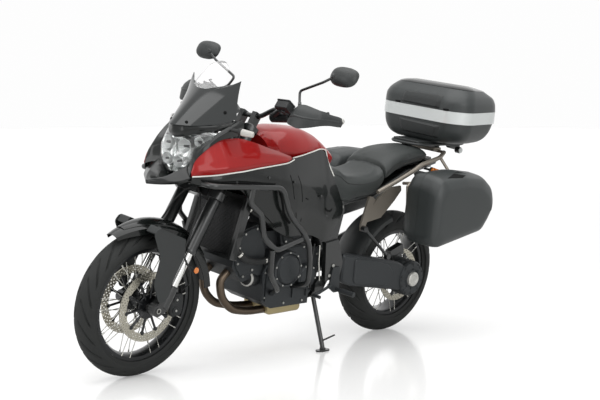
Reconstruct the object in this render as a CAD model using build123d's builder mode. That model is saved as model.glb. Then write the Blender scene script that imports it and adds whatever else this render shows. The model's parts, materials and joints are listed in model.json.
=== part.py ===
from build123d import *
import math
import os

# Adventure motorcycle on wire wheels, with crash bars, hand guards, two side cases and a top case,
# parked on its side stand. Everything is modelled upright, in bike coordinates: millimetres from the
# point on the ground below the rear axle, +X forward, +Y to the rider's left, +Z up. The steered
# pieces are modelled in fork coordinates, whose Z axis is the steering axis. At the end of each piece
# its pose puts it where it stands when the motorcycle is parked.

os.makedirs("parts", exist_ok=True)

# ---- driving dimensions, mm and degrees ------------------------------------------------------------
wheelbase = 1595
lean_deg = 8.2
steer_deg = 3.0
caster_deg = 28
fork_offset = 26.5
axle_lead = 33.5

front_rim_r = 250
front_rim_half = 34
front_tyre_section = 79
front_tyre_r = front_rim_r + front_tyre_section
front_tyre_half = 55
rear_rim_r = 226
rear_rim_half = 55
rear_tyre_section = 95
rear_tyre_r = rear_rim_r + rear_tyre_section
rear_tyre_half = 75

running_gap = 0.1
seat_gap = 0.3
disc_clearance = 7.5
panel_wall = 4
case_wall = 4

fork_half_width = 107
outer_tube_r = 28.5
stanchion_r = 21.5
stem_r = 17.5
lower_yoke_s = 885
lower_yoke_thick = 35
upper_yoke_s = 1225
upper_yoke_thick = 22
bar_r = 11.1

front_disc_r = 155
front_disc_y = 62.4
rear_disc_r = 138
rear_disc_y = 92
disc_thick = 5
front_axle_r = 12
front_axle_bore_r = 8
rear_stub_r = 22
rear_hub_bore_r = 25

crash_bar_r = 12.5
pivot_x = 600
pivot_z = 455
plate_in_y = 165
plate_out_y = 190
crank_half = 140
crank_low_z = 262
cover_face_y = 200
final_drive_r = 92
final_drive_in_y = 105
final_drive_out_y = 192
arm_in_y = 112
arm_front_out_y = 160
arm_out_y = 184

case_in_y = 240
case_seam_y = 345
top_case_floor_z = 1020
top_case_band_z = 1130
top_case_seam_z = 1192
top_case_hinge_x = -100
lid_gap = 0.6
stand_pivot = (617, 90, 283)
stand_foot = (626, 208)

# ---- poses -----------------------------------------------------------------------------------------
caster_sin = math.sin(math.radians(caster_deg))
caster_cos = math.cos(math.radians(caster_deg))
trail = (front_tyre_r * caster_sin - fork_offset - axle_lead) / caster_cos
axle_u = fork_offset + axle_lead
axle_s = (front_tyre_r - axle_u * caster_sin) / caster_cos

steering_plane = Plane(
    origin=(wheelbase + trail, 0, 0),
    x_dir=(caster_cos, 0, caster_sin),
    z_dir=(-caster_sin, 0, caster_cos),
)
steered = steering_plane.location * Location((0, 0, 0), (0, 0, steer_deg))


def tyre_floor(wheel, tyre_r, crown_r):
    """Height of a tyre's lowest point: its centre, less its ring's drop and the crown's radius."""
    centre = Vector(*wheel.position)
    axle = Vector(*(wheel * Location((0, 1, 0))).position) - centre
    drop = (tyre_r - crown_r) * math.sqrt(1 - axle.Z**2)
    return centre.Z - drop - crown_r


def crown_radius(tyre_r, tyre_half):
    """Radius of the arc through both shoulders and the top of a tyre whose crown is 0.8 half widths high."""
    rise = 0.8 * tyre_half
    return (tyre_half**2 + rise**2) / (2 * rise)


leaned = Location((0, 0, 0), (-lean_deg, 0, 0))
rear_wheel_pose = leaned * Location((0, 0, rear_tyre_r))
front_wheel_pose = leaned * steered * Location((axle_u, 0, axle_s))
rear_floor = tyre_floor(rear_wheel_pose, rear_tyre_r, crown_radius(rear_tyre_r, rear_tyre_half))
front_floor = tyre_floor(front_wheel_pose, front_tyre_r, crown_radius(front_tyre_r, front_tyre_half))
pitch_deg = math.degrees(math.atan2(front_floor - rear_floor, wheelbase))
origin_shift = (-691.6, -160.3)
parked = Location((*origin_shift, -rear_floor)) * Location((0, 0, 0), (0, pitch_deg, 0)) * leaned
fork_pose = parked * steered


def finish(piece, name, pose):
    """Park a finished piece, label it and write its STEP file."""
    piece.part = pose * piece.part
    piece.part.label = name
    export_step(piece.part, f"parts/{name}.step")


# ---- shapes that repeat ----------------------------------------------------------------------------
def rod(start, end, radius, mode=Mode.ADD):
    """A round bar from start to end."""
    axis = Vector(*end) - Vector(*start)
    with BuildSketch(Plane(origin=start, z_dir=axis)) as section:
        Circle(radius)
    extrude(section.sketch, amount=axis.length, mode=mode)


def beam(start, end, width, height):
    """A bar of rectangular section, its width level and across the run."""
    axis = Vector(*end) - Vector(*start)
    across = Vector(0, 0, 1).cross(axis)
    with BuildSketch(Plane(origin=start, x_dir=across, z_dir=axis)) as section:
        Rectangle(width, height)
    extrude(section.sketch, amount=axis.length)


def pipe(points, radius, bend, mode=Mode.ADD):
    """A round tube swept along straight runs that are joined by arcs of radius bend."""
    with BuildLine() as path:
        FilletPolyline(*points, radius=bend)
    run = Vector(*points[1]) - Vector(*points[0])
    with BuildSketch(Plane(origin=points[0], z_dir=run)) as section:
        Circle(radius)
    sweep(section.sketch, path=path.line, mode=mode)


def side_plate(outline, y_low, y_high, mode=Mode.ADD):
    """A prism across the bike: an outline of (x, z) points carried from y_low to y_high."""
    with BuildSketch(Plane.XZ.offset(-y_high)) as section:
        with BuildLine():
            Polyline(*outline, close=True)
        make_face()
    extrude(section.sketch, amount=y_high - y_low, mode=mode)


def top_plate(outline, z_low, z_high, mode=Mode.ADD):
    """A level prism: an outline of (x, y) points carried from z_low up to z_high."""
    with BuildSketch(Plane.XY.offset(z_low)) as section:
        with BuildLine():
            Polyline(*outline, close=True)
        make_face()
    extrude(section.sketch, amount=z_high - z_low, mode=mode)


def cross_loft(sections, mode=Mode.ADD):
    """A ruled loft through closed outlines of (y, z) points, one at each station x."""
    faces = []
    for x, outline in sections:
        with BuildSketch(Plane.YZ.offset(x)) as section:
            with BuildLine():
                Polyline(*outline, close=True)
            make_face()
        faces.append(section.sketch)
    loft(faces, ruled=True, mode=mode)


def both_sides(half):
    """A symmetric outline from its left half, listed from the top centre down."""
    return [*half, *[(-y, z) for y, z in reversed(half) if y]]


def panel_section(edge, wall):
    """A thin section behind an outer edge of (y, z) points, the wall measured inwards along Y."""
    return [*edge, *[(y - wall, z) for y, z in reversed(edge)]]


def wheel_disc(radius, y_low, y_high, centre=(0, 0), mode=Mode.ADD):
    """A round plate across the bike at (x, z), from y_low to y_high."""
    with BuildSketch(Plane.XZ.offset(-y_high)) as section:
        with Locations(centre):
            Circle(radius)
    extrude(section.sketch, amount=y_high - y_low, mode=mode)


# ---- wheels ----------------------------------------------------------------------------------------
# Both are modelled about the origin, with the axle along Y.
rim_wall = 4
spoke_r = 1.9
flange_thick = 7


def tyre_ring(tyre_r, tyre_half, rim_r, rim_half):
    """A tyre carcass: an arc crown, sidewalls that draw in to the beads, and the air space cut out."""
    shoulder_r = tyre_r - 0.8 * tyre_half
    bead_r = rim_r - rim_wall - 3
    tread, side = 11, 7
    inner_shoulder = tyre_half - side
    with BuildSketch(Plane.XY) as section:
        with BuildLine():
            ThreePointArc((shoulder_r, -tyre_half), (tyre_r, 0), (shoulder_r, tyre_half))
            Polyline(
                (shoulder_r, tyre_half),
                (rim_r + 4, rim_half + 5),
                (rim_r + 4, rim_half - rim_wall - seat_gap),
                (bead_r, rim_half - rim_wall - seat_gap),
                (bead_r, rim_half - rim_wall - 9),
                (rim_r + 6, rim_half - rim_wall - 7),
                (shoulder_r, inner_shoulder),
            )
            ThreePointArc(
                (shoulder_r, inner_shoulder), (tyre_r - tread, 0), (shoulder_r, -inner_shoulder)
            )
            Polyline(
                (shoulder_r, -inner_shoulder),
                (rim_r + 6, -rim_half + rim_wall + 7),
                (bead_r, -rim_half + rim_wall + 9),
                (bead_r, -rim_half + rim_wall + seat_gap),
                (rim_r + 4, -rim_half + rim_wall + seat_gap),
                (rim_r + 4, -rim_half - 5),
                (shoulder_r, -tyre_half),
            )
        make_face()
    revolve(section.sketch, axis=Axis.Y)


def rim_ring(rim_r, rim_half):
    """A channel rim: two upright flanges, bead seats and a shallow well."""
    seat_r = rim_r - rim_wall - 3 - seat_gap
    well_r = seat_r - 12
    outline = [
        (rim_r, rim_half),
        (rim_r, rim_half - rim_wall),
        (seat_r, rim_half - rim_wall),
        (seat_r, rim_half - rim_wall - 12),
        (well_r, rim_half - rim_wall - 20),
    ]
    under = [
        (well_r - rim_wall, rim_half - rim_wall - 22),
        (seat_r - rim_wall, rim_half - rim_wall - 12),
        (seat_r - 2 * rim_wall, rim_half),
    ]
    with BuildSketch(Plane.XY) as section:
        with BuildLine():
            Polyline(
                *outline,
                *[(r, -y) for r, y in reversed(outline)],
                *[(r, -y) for r, y in reversed(under)],
                *under,
                close=True,
            )
        make_face()
    revolve(section.sketch, axis=Axis.Y)


def spokes(count, rim_r, rim_half, flange_r, flange_y, cross_deg):
    """Crossed spokes from the hub flanges out to the rim's edges, leaning alternately each way."""
    anchor_r = rim_r - 14
    for i in range(count):
        side = 1 if i % 2 else -1
        lean_way = 1 if (i // 2) % 2 else -1
        turn = math.radians(360 * i / count)
        reach = math.radians(360 * i / count + lean_way * cross_deg)
        rod(
            (flange_r * math.cos(turn), side * flange_y, flange_r * math.sin(turn)),
            (anchor_r * math.cos(reach), side * (rim_half - 3), anchor_r * math.sin(reach)),
            spoke_r,
        )


# Front wheel
front_hub_half = 50
front_flange_y = 36
with BuildPart() as front_wheel_rim:
    rim_ring(front_rim_r, front_rim_half)
    wheel_disc(27, -front_hub_half, front_hub_half)
    wheel_disc(42, front_flange_y - flange_thick / 2, front_flange_y + flange_thick / 2)
    wheel_disc(42, -front_flange_y - flange_thick / 2, -front_flange_y + flange_thick / 2)
    spokes(36, front_rim_r, front_rim_half, 37, front_flange_y, 24)
    wheel_disc(front_axle_r + running_gap, -front_hub_half - 1, front_hub_half + 1, mode=Mode.SUBTRACT)
with BuildPart() as front_tyre:
    tyre_ring(front_tyre_r, front_tyre_half, front_rim_r, front_rim_half)


def brake_disc(disc_r, band, centre_y, hub_r, carrier_in_y, mode=Mode.ADD):
    """A steel brake ring on a carrier of ten arms, from the hub face at carrier_in_y."""
    wheel_disc(disc_r, centre_y - disc_thick / 2, centre_y + disc_thick / 2)
    wheel_disc(disc_r - band, centre_y - disc_thick, centre_y + disc_thick, mode=Mode.SUBTRACT)
    carrier_low = min(carrier_in_y, centre_y - disc_thick / 2)
    carrier_high = max(carrier_in_y, centre_y - disc_thick / 2)
    wheel_disc(hub_r + 16, min(carrier_low, centre_y), max(carrier_high, centre_y))
    for i in range(10):
        turn = math.radians(36 * i)
        reach = disc_r - band + 4
        beam(
            (hub_r * math.cos(turn), centre_y - 1, hub_r * math.sin(turn)),
            (reach * math.cos(turn), centre_y - 1, reach * math.sin(turn)),
            11,
            disc_thick,
        )


with BuildPart() as front_discs:
    brake_disc(front_disc_r, 38, front_disc_y, 33, front_hub_half + seat_gap)
    wheel_disc(front_axle_r + 3, front_hub_half, front_disc_y + 10, mode=Mode.SUBTRACT)
    mirror(about=Plane.XZ)

# Rear wheel
rear_hub_right = -52
rear_hub_left = 62
with BuildPart() as rear_wheel_rim:
    rim_ring(rear_rim_r, rear_rim_half)
    wheel_disc(46, rear_hub_right, rear_hub_left)
    wheel_disc(62, 38, 38 + flange_thick)
    wheel_disc(62, -38 - flange_thick, -38)
    spokes(36, rear_rim_r, rear_rim_half, 57, 41, 26)
    wheel_disc(rear_hub_bore_r, rear_hub_right - 1, 20, mode=Mode.SUBTRACT)
    wheel_disc(rear_stub_r + running_gap, 19, rear_hub_left + 1, mode=Mode.SUBTRACT)
with BuildPart() as rear_tyre:
    tyre_ring(rear_tyre_r, rear_tyre_half, rear_rim_r, rear_rim_half)
with BuildPart() as rear_disc:
    brake_disc(rear_disc_r, 32, rear_disc_y, 40, rear_hub_left + seat_gap)
    wheel_disc(rear_stub_r + 4, rear_hub_left, rear_disc_y + 10, mode=Mode.SUBTRACT)

# ---- steering, in fork coordinates: u forward, y left, s along the steering axis --------------------
outer_low_s = axle_s + 288
outer_high_s = upper_yoke_s + upper_yoke_thick + 8
stanchion_depth = 60
stanchion_low_s = axle_s + 125
tube_places = [(fork_offset, fork_half_width), (fork_offset, -fork_half_width)]


def upright(points, radius, low, high, mode=Mode.ADD):
    """Round columns parallel to the steering axis, at (u, y) points, from low to high."""
    with BuildSketch(Plane.XY.offset(low)) as section:
        with Locations(*points):
            Circle(radius)
    extrude(section.sketch, amount=high - low, mode=mode)


def yoke(low, thick, rear_u):
    """A fork bridge: a waisted plate with round ends that clamp the tubes."""
    with BuildSketch(Plane.XY.offset(low)) as section:
        with BuildLine():
            Polyline(
                (fork_offset + 20, fork_half_width),
                (fork_offset + 24, 30),
                (fork_offset + 24, -30),
                (fork_offset + 20, -fork_half_width),
                (fork_offset - 20, -fork_half_width),
                (rear_u, -34),
                (rear_u, 34),
                (fork_offset - 20, fork_half_width),
                close=True,
            )
        make_face()
        with Locations(*tube_places):
            Circle(outer_tube_r + 11)
    extrude(section.sketch, amount=thick)


# The bar's centre line crosses the steering plane at bar_clamp, as (u, s), on two risers.
bar_clamp = (-39, 1320)
riser_y = 40
riser_half = 14

with BuildPart() as yokes:
    yoke(lower_yoke_s, lower_yoke_thick, -32)
    yoke(upper_yoke_s, upper_yoke_thick, -56)
    upright([(0, 0)], stem_r, lower_yoke_s, upper_yoke_s + upper_yoke_thick)
    upright([(0, 0)], 16, upper_yoke_s + upper_yoke_thick, upper_yoke_s + upper_yoke_thick + 10)
    upright([(0, 0)], 8, lower_yoke_s - 1, upper_yoke_s + upper_yoke_thick + 11, mode=Mode.SUBTRACT)
    upright(
        tube_places,
        outer_tube_r + running_gap,
        lower_yoke_s - 1,
        upper_yoke_s + upper_yoke_thick + 1,
        mode=Mode.SUBTRACT,
    )
    for side in (1, -1):
        low, high = sorted([side * (riser_y - riser_half), side * (riser_y + riser_half)])
        side_plate(
            [
                (bar_clamp[0] - 16, upper_yoke_s + upper_yoke_thick / 2),
                (bar_clamp[0] + 18, upper_yoke_s + upper_yoke_thick / 2),
                (bar_clamp[0] + 20, bar_clamp[1] + 16),
                (bar_clamp[0] - 20, bar_clamp[1] + 16),
            ],
            low,
            high,
        )
        wheel_disc(bar_r + running_gap, low - 1, high + 1, centre=bar_clamp, mode=Mode.SUBTRACT)

with BuildPart() as fork_tubes:
    upright(tube_places, outer_tube_r, outer_low_s, outer_high_s)
    upright(tube_places, outer_tube_r + 2, outer_low_s - 6, outer_low_s + 14)
    upright(
        tube_places,
        stanchion_r + running_gap,
        outer_low_s - 7,
        outer_low_s + stanchion_depth + 5,
        mode=Mode.SUBTRACT,
    )

carrier_half = 25
with BuildPart() as fork_lowers:
    upright(tube_places, stanchion_r, stanchion_low_s - 10, outer_low_s + stanchion_depth)
    upright(tube_places, 26, axle_s + 24, stanchion_low_s)
    for side in (1, -1):
        y_mid = side * fork_half_width
        side_plate(
            [
                (axle_u + 24, axle_s - 16),
                (axle_u + 26, axle_s + 12),
                (fork_offset + 25, axle_s + 70),
                (fork_offset - 25, axle_s + 90),
                (fork_offset - 24, axle_s + 20),
                (axle_u - 20, axle_s - 22),
            ],
            y_mid - carrier_half,
            y_mid + carrier_half,
        )
        wheel_disc(27, y_mid - carrier_half, y_mid + carrier_half, centre=(axle_u, axle_s))
        wheel_disc(
            front_axle_r + running_gap,
            y_mid - carrier_half - 1,
            y_mid + carrier_half + 1,
            centre=(axle_u, axle_s),
            mode=Mode.SUBTRACT,
        )

with BuildPart() as front_axle:
    wheel_disc(
        front_axle_r, -fork_half_width - carrier_half - 4, fork_half_width + carrier_half + 4,
        centre=(axle_u, axle_s),
    )
    for side in (1, -1):
        spacer = sorted([side * (front_hub_half + 2), side * (fork_half_width - carrier_half - 0.3)])
        wheel_disc(front_axle_r + 2, *spacer, centre=(axle_u, axle_s))
    wheel_disc(
        front_axle_bore_r, -fork_half_width - 40, fork_half_width + 40,
        centre=(axle_u, axle_s), mode=Mode.SUBTRACT,
    )

# Front fender: a crowned channel revolved round the axle, from the tip ahead to the flap behind.
# Angles are measured from +u towards +s.
fender_r = 372
fender_half = 72
fender_wall = 3.5
fender_from, fender_to = 34, 141
guard_in_y = fork_half_width + carrier_half + seat_gap
fork_guard_thick = 4
fork_guard = [
    (279, 616), (93, 641), (66, 600), (64, 470), (46, 420), (56, 380), (84, 372), (155, 428), (190, 545),
]
with BuildPart() as front_fender:
    with BuildSketch(Plane(origin=(axle_u, 0, axle_s), x_dir=(
        math.cos(math.radians(fender_from)), 0, math.sin(math.radians(fender_from))
    ), z_dir=(math.sin(math.radians(fender_from)), 0, -math.cos(math.radians(fender_from)))
    )) as channel:
        with BuildLine():
            ThreePointArc(
                (fender_r - 34, -fender_half), (fender_r, 0), (fender_r - 34, fender_half)
            )
            Polyline(
                (fender_r - 34, fender_half),
                (fender_r - 62, fender_half),
                (fender_r - 62, fender_half - fender_wall),
                (fender_r - 36, fender_half - fender_wall),
            )
            ThreePointArc(
                (fender_r - 36, fender_half - fender_wall),
                (fender_r - fender_wall, 0),
                (fender_r - 36, -fender_half + fender_wall),
            )
            Polyline(
                (fender_r - 36, -fender_half + fender_wall),
                (fender_r - 62, -fender_half + fender_wall),
                (fender_r - 62, -fender_half),
                (fender_r - 34, -fender_half),
            )
        make_face()
    revolve(
        axis=Axis((axle_u, 0, axle_s), (0, 1, 0)), revolution_arc=fender_from - fender_to
    )
    for side in (1, -1):
        side_plate(fork_guard, *sorted([side * guard_in_y, side * (guard_in_y + fork_guard_thick)]))
        side_plate(
            [(279, 616), (270, 652), (100, 668), (93, 641), (97, 637), (275, 612)],
            *sorted([side * (fender_half - fender_wall), side * (guard_in_y + fork_guard_thick)]),
        )

# Handlebar, held in the risers of the upper yoke
bar_end_y = 440
bar_points = [
    (-120, bar_end_y, 1416),
    (-45, 250, 1396),
    (-22, 150, 1372),
    (bar_clamp[0], 60, bar_clamp[1]),
    (bar_clamp[0], -60, bar_clamp[1]),
    (-22, -150, 1372),
    (-45, -250, 1396),
    (-120, -bar_end_y, 1416),
]
with BuildPart() as handlebar:
    pipe(bar_points, bar_r, 28)

grip_wall = 5


def along_bar(share):
    """A point on the bar's straight outer run, from its bend (0) to its end (1)."""
    inner, end = Vector(*bar_points[1]), Vector(*bar_points[0])
    return inner + (end - inner) * share


bar_run = (Vector(*bar_points[1]) - Vector(*bar_points[0])).length
with BuildPart() as grips:
    rod(along_bar(0.36), along_bar(0.95), bar_r + grip_wall)
    rod(along_bar(0.30), along_bar(0.36), bar_r + grip_wall + 3)
    rod(along_bar(0), along_bar(1.02), bar_r + running_gap, mode=Mode.SUBTRACT)
    mirror(about=Plane.XZ)

clamp_r = 21
with BuildPart() as bar_controls:
    rod(along_bar(0.04), along_bar(0.28), clamp_r)
    beam(along_bar(0.17) + Vector(52, -46, 18), along_bar(0.17) + Vector(112, -46, 18), 44, 28)
    beam(along_bar(0.17), along_bar(0.17) + Vector(60, -36, 10), 24, 18)
    rod(along_bar(0.2) + Vector(30, 0, 4), along_bar(0.9) + Vector(66, 0, -2), 6)
    rod(along_bar(0.2), along_bar(0.2) + Vector(34, 0, 4), 8)
    rod(along_bar(0), along_bar(1), bar_r + running_gap, mode=Mode.SUBTRACT)
    mirror(about=Plane.XZ)

guard_low_s, guard_high_s = 1312, 1420
with BuildPart() as hand_guards:
    with BuildSketch(Plane.XY.offset(guard_low_s)):
        with BuildLine():
            Polyline((34, 262), (78, 300))
            ThreePointArc((78, 300), (56, 392), (-70, bar_end_y + 12))
            Polyline(
                (-70, bar_end_y + 12),
                (-128, bar_end_y + 14),
                (-128, bar_end_y + 10),
                (-72, bar_end_y + 8),
            )
            ThreePointArc((-72, bar_end_y + 8), (52, 389), (74, 300))
            Polyline((74, 300), (32, 266), (34, 262))
        make_face()
    extrude(amount=guard_high_s - guard_low_s)
    with BuildSketch(Plane.XZ.offset(-bar_end_y - 40)):
        with BuildLine():
            Polyline(
                (90, 1322), (84, 1372), (30, 1414), (-60, 1434), (-130, 1434), (-130, 1396),
                (-40, 1352), (40, 1314),
                close=True,
            )
        make_face()
    extrude(amount=bar_end_y + 40, mode=Mode.INTERSECT)
    rod(along_bar(1 + seat_gap / bar_run), along_bar(1.07), 13)
    mirror(about=Plane.XZ)

mirror_centre = Vector(-10, 440, 1583)
mirror_foot = along_bar(0.1) + Vector(0, 0, clamp_r + 1 + seat_gap)
mirror_bend = mirror_foot + Vector(8, 0, 70)
with BuildPart() as mirrors:
    rod(mirror_foot, mirror_foot + Vector(0, 0, 10), 10)
    rod(mirror_foot, mirror_bend, 6)
    rod(mirror_bend, mirror_centre + Vector(0, -44, -16), 6)
    with Locations(mirror_bend):
        Sphere(6)
    with BuildSketch(Plane(origin=mirror_centre + Vector(18, 0, 0), x_dir=(0, 1, 0), z_dir=(-1, 0, 0))):
        RectangleRounded(96, 62, 26)
    with BuildSketch(Plane(origin=mirror_centre + Vector(-18, 0, 0), x_dir=(0, 1, 0), z_dir=(-1, 0, 0))):
        RectangleRounded(150, 92, 38)
    loft()
    mirror(about=Plane.XZ)

caliper_turn = 153
caliper_r = 122
with BuildPart() as front_calipers:
    with BuildSketch(Plane.XZ.offset(-front_disc_y - 30)):
        with Locations(Location((axle_u, axle_s)) * Location((0, 0, 0), (0, 0, caliper_turn))):
            with Locations((caliper_r + 18, 0)):
                Rectangle(76, 110)
    extrude(amount=52)
    wheel_disc(
        front_disc_r + 5, front_disc_y - disc_clearance, front_disc_y + disc_clearance,
        centre=(axle_u, axle_s), mode=Mode.SUBTRACT,
    )
    upright(tube_places, 26.3, axle_s - 40, stanchion_low_s + 60, mode=Mode.SUBTRACT)
    mirror(about=Plane.XZ)

# Brake hoses: one from the master cylinder to a splitter on the lower yoke, and one to each caliper.
hose_r = 4
hose_bend = 18
splitter_half = 16
splitter_u = fork_offset + 24 + seat_gap
with BuildPart() as brake_hoses:
    pipe(
        [
            (62, 10, 905), (66, 50, 880), (66, 84, 820), (68, 108, 700), (66, 112, 640), (58, 121, 600),
            (10, 146, 556), (-30, 138, 510), (-56, 84, 470),
        ],
        hose_r,
        hose_bend,
    )
    add(front_calipers.part, mode=Mode.SUBTRACT)
    mirror(about=Plane.XZ)
    pipe(
        [
            (54.5, -236, 1412), (84, -222, 1400), (62, -150, 1372), (42, -86, 1318), (60, -68, 1262),
            (66, -80, 1215), (56, -84, 1150), (56, -80, 1040), (62, -30, 950), (61, 0, 906),
        ],
        hose_r,
        hose_bend,
    )
    add(bar_controls.part, mode=Mode.SUBTRACT)
    side_plate(
        [(splitter_u, 888), (splitter_u, 916), (splitter_u + 18, 916), (splitter_u + 18, 888)],
        -splitter_half,
        splitter_half,
    )

# ---- frame and engine ------------------------------------------------------------------------------
head_low_s, head_high_s = 936, 1208


def fork_to_bike(u, y, s):
    """A point of the straight-ahead fork in bike coordinates."""
    return steering_plane.from_local_coords((u, y, s))


ear_in_y = 148
engine_bolt = (682, 344)
cross_tube = (585, 740)
cross_tube_r = 16
with BuildPart() as main_frame:
    rod(fork_to_bike(0, 0, head_low_s), fork_to_bike(0, 0, head_high_s), 33)
    for side in (1, -1):
        beam((1152, side * 14, 990), (1062, side * 72, 962), 30, 84)
        beam((1078, side * 62, 968), (985, side * 142, 925), 30, 92)
        beam((1000, side * 138, 932), (640, side * 158, 628), 30, 80)
        side_plate(
            [(652, 660), (640, 742), (560, 760), (548, 712), (578, 572), (662, 560)],
            *sorted([side * plate_in_y, side * (plate_in_y + 14)]),
        )
        side_plate(
            [(578, 574), (534, 459), (545, 396), (644, 371), (662, 562)],
            *sorted([side * plate_in_y, side * plate_out_y]),
        )
        side_plate(
            [(646, 392), (600, 385), (632, 330), (668, 318), (690, 322), (690, 362), (662, 392)],
            *sorted([side * ear_in_y, side * 172]),
        )
        rod((654, side * 145, 690), (654, side * 172, 690), 14)
    wheel_disc(cross_tube_r, -160, 160, centre=cross_tube)
    beam(fork_to_bike(20, 0, 1082), fork_to_bike(150, 0, 1082), 44, 36)
    beam((1300, 0, 1026), (1400 - seat_gap, 0, 1026), 130, 30)
    rod(
        fork_to_bike(0, 0, head_low_s - 1),
        fork_to_bike(0, 0, head_high_s + 1),
        stem_r + running_gap,
        mode=Mode.SUBTRACT,
    )

stand_hub_half = 12
with BuildPart() as crankcase:
    side_plate(
        [
            (700, 306), (660, 345), (648, 520), (760, 556), (955, 540), (1008, 440), (1000, 300),
            (940, crank_low_z), (700, crank_low_z),
        ],
        -crank_half,
        crank_half,
    )
    wheel_disc(14, -ear_in_y + seat_gap, ear_in_y - seat_gap, centre=engine_bolt)
    side_plate(
        [(705, 306), (660, 345), (640, 345), (598, 304), (598, 268), (640, crank_low_z), (705, crank_low_z)],
        stand_pivot[1] - stand_hub_half - seat_gap - 18,
        stand_pivot[1] - stand_hub_half - seat_gap,
    )

front_cylinder = [(1000, 430), (992, 540), (1052, 668), (1146, 640), (1180, 560), (1184, 476), (1122, 402)]
rear_cylinder = [(700, 540), (676, 700), (836, 760), (900, 620), (880, 530)]
with BuildPart() as cylinders:
    side_plate(front_cylinder, -125, 125)
    side_plate(rear_cylinder, -115, 115)
    side_plate([(870, 520), (870, 620), (1040, 620), (1010, 520)], -90, 90)
    add(crankcase.part, mode=Mode.SUBTRACT)

with BuildPart() as engine_covers:
    wheel_disc(86, crank_half + seat_gap, cover_face_y, centre=(891, 455))
    wheel_disc(60, crank_half + seat_gap, 170, centre=(740, 400))
    wheel_disc(80, -cover_face_y, -crank_half - seat_gap, centre=(892, 455))

with BuildPart() as radiator:
    side_plate([(1245, 540), (1174, 800), (1136, 790), (1207, 530)], -178, 178)
    for side in (1, -1):
        rod((1152, side * 104, 775), (1034, side * 104, 905), 7)
    add(main_frame.part, mode=Mode.SUBTRACT)

pipe_r = 19
with BuildPart() as exhaust_headers:
    for y in (62, -62):
        pipe(
            [
                (1156, y, 440), (1196, y, 402), (1178, y, 320), (1112, y, 256), (1000, y * 0.8, 232),
                (880, y * 0.7, 228),
            ],
            pipe_r,
            32,
        )
    side_plate([(890, 205), (900, 255), (700, 258), (680, 235), (690, 208)], -95, 85)
    pipe([(695, -50, 232), (600, -120, 240), (500, -190, 280), (392, -208, 326)], 24, 60)
    add(cylinders.part, mode=Mode.SUBTRACT)

with BuildPart() as silencer:
    with BuildSketch(Plane(origin=(388, -208, 328), x_dir=(0, 1, 0), z_dir=(-0.955, -0.05, 0.29))):
        Ellipse(46, 52)
    with BuildSketch(Plane(origin=(340, -210, 343), x_dir=(0, 1, 0), z_dir=(-0.955, -0.05, 0.29))):
        Ellipse(52, 64)
    with BuildSketch(Plane(origin=(-60, -231, 464), x_dir=(0, 1, 0), z_dir=(-0.955, -0.05, 0.29))):
        Ellipse(52, 64)
    with BuildSketch(Plane(origin=(-120, -234, 482), x_dir=(0, 1, 0), z_dir=(-0.955, -0.05, 0.29))):
        Ellipse(36, 46)
    loft(ruled=True)

with BuildPart() as swingarm:
    side_plate(
        [
            (520, 495), (447, 482), (103, rear_tyre_r + 99), (50, rear_tyre_r + 79), (50, rear_tyre_r - 59),
            (130, rear_tyre_r - 53), (456, 311), (520, 340),
        ],
        arm_in_y,
        arm_out_y,
    )
    side_plate(
        [(640, 480), (600, 505), (500, 493), (500, 336), (600, 400), (640, 430)], arm_in_y, arm_front_out_y
    )
    rod((pivot_x, -plate_in_y + seat_gap, pivot_z), (pivot_x, plate_in_y - seat_gap, pivot_z), 26)
    side_plate([(600, 480), (530, 500), (512, 470), (560, 432), (600, 430)], -20, 20)
    wheel_disc(
        final_drive_r + seat_gap, final_drive_in_y - 15, final_drive_out_y + 8, centre=(0, rear_tyre_r),
        mode=Mode.SUBTRACT,
    )

final_cap_r = 37
with BuildPart() as final_drive:
    wheel_disc(final_drive_r, final_drive_in_y, final_drive_out_y, centre=(0, rear_tyre_r))
    wheel_disc(final_cap_r, final_drive_out_y, final_drive_out_y + 16, centre=(0, rear_tyre_r))
    wheel_disc(rear_stub_r, 30, final_drive_in_y, centre=(0, rear_tyre_r))

caliper_place = Location((0, rear_tyre_r)) * Location((0, 0, 0), (0, 0, 70))
with BuildPart() as rear_caliper:
    with BuildSketch(Plane.XZ.offset(-rear_disc_y - 18)):
        with Locations(caliper_place):
            with Locations((rear_disc_r - 4, 0)):
                Rectangle(56, 96)
    extrude(amount=36)
    with BuildSketch(Plane.XZ.offset(-arm_in_y + seat_gap)):
        with Locations(caliper_place):
            with Locations((final_drive_r + 10, 0)):
                Rectangle(40, 60)
    extrude(amount=arm_in_y - seat_gap - rear_disc_y - disc_clearance)
    wheel_disc(
        rear_disc_r + 5, rear_disc_y - disc_clearance, rear_disc_y + disc_clearance,
        centre=(0, rear_tyre_r), mode=Mode.SUBTRACT,
    )
    wheel_disc(
        final_drive_r + seat_gap, final_drive_in_y - 15, final_drive_out_y + 8, centre=(0, rear_tyre_r),
        mode=Mode.SUBTRACT,
    )

with BuildPart() as rear_shock:
    rod((531, 0, 505), (576, 0, 700), 30)
    rod((576, 0, 690), (cross_tube[0], 0, cross_tube[1] - cross_tube_r - seat_gap), 12)
    wheel_disc(cross_tube_r + seat_gap, -20, 20, centre=cross_tube, mode=Mode.SUBTRACT)

# ---- tank, seat and bodywork -----------------------------------------------------------------------
# Half outlines of (y, z) points from the top centre down, at stations x from the front to the rear.
with BuildPart() as fuel_tank:
    cross_loft([
        (1030, both_sides([(0, 1078), (70, 1070), (118, 1040), (132, 1022), (120, 1010)])),
        (960, both_sides([(0, 1092), (84, 1084), (142, 1044), (176, 988), (150, 962)])),
        (800, both_sides([(0, 1088), (78, 1080), (122, 1046), (158, 990), (140, 862)])),
        (690, both_sides([(0, 1064), (66, 1056), (98, 1030), (132, 985), (118, 862)])),
        (640, both_sides([(0, 1034), (60, 1026), (92, 1004), (120, 960), (110, 862)])),
        (575, both_sides([(0, 985), (56, 978), (78, 966), (92, 952), (88, 940)])),
    ])
    add(main_frame.part, mode=Mode.SUBTRACT)

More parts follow.
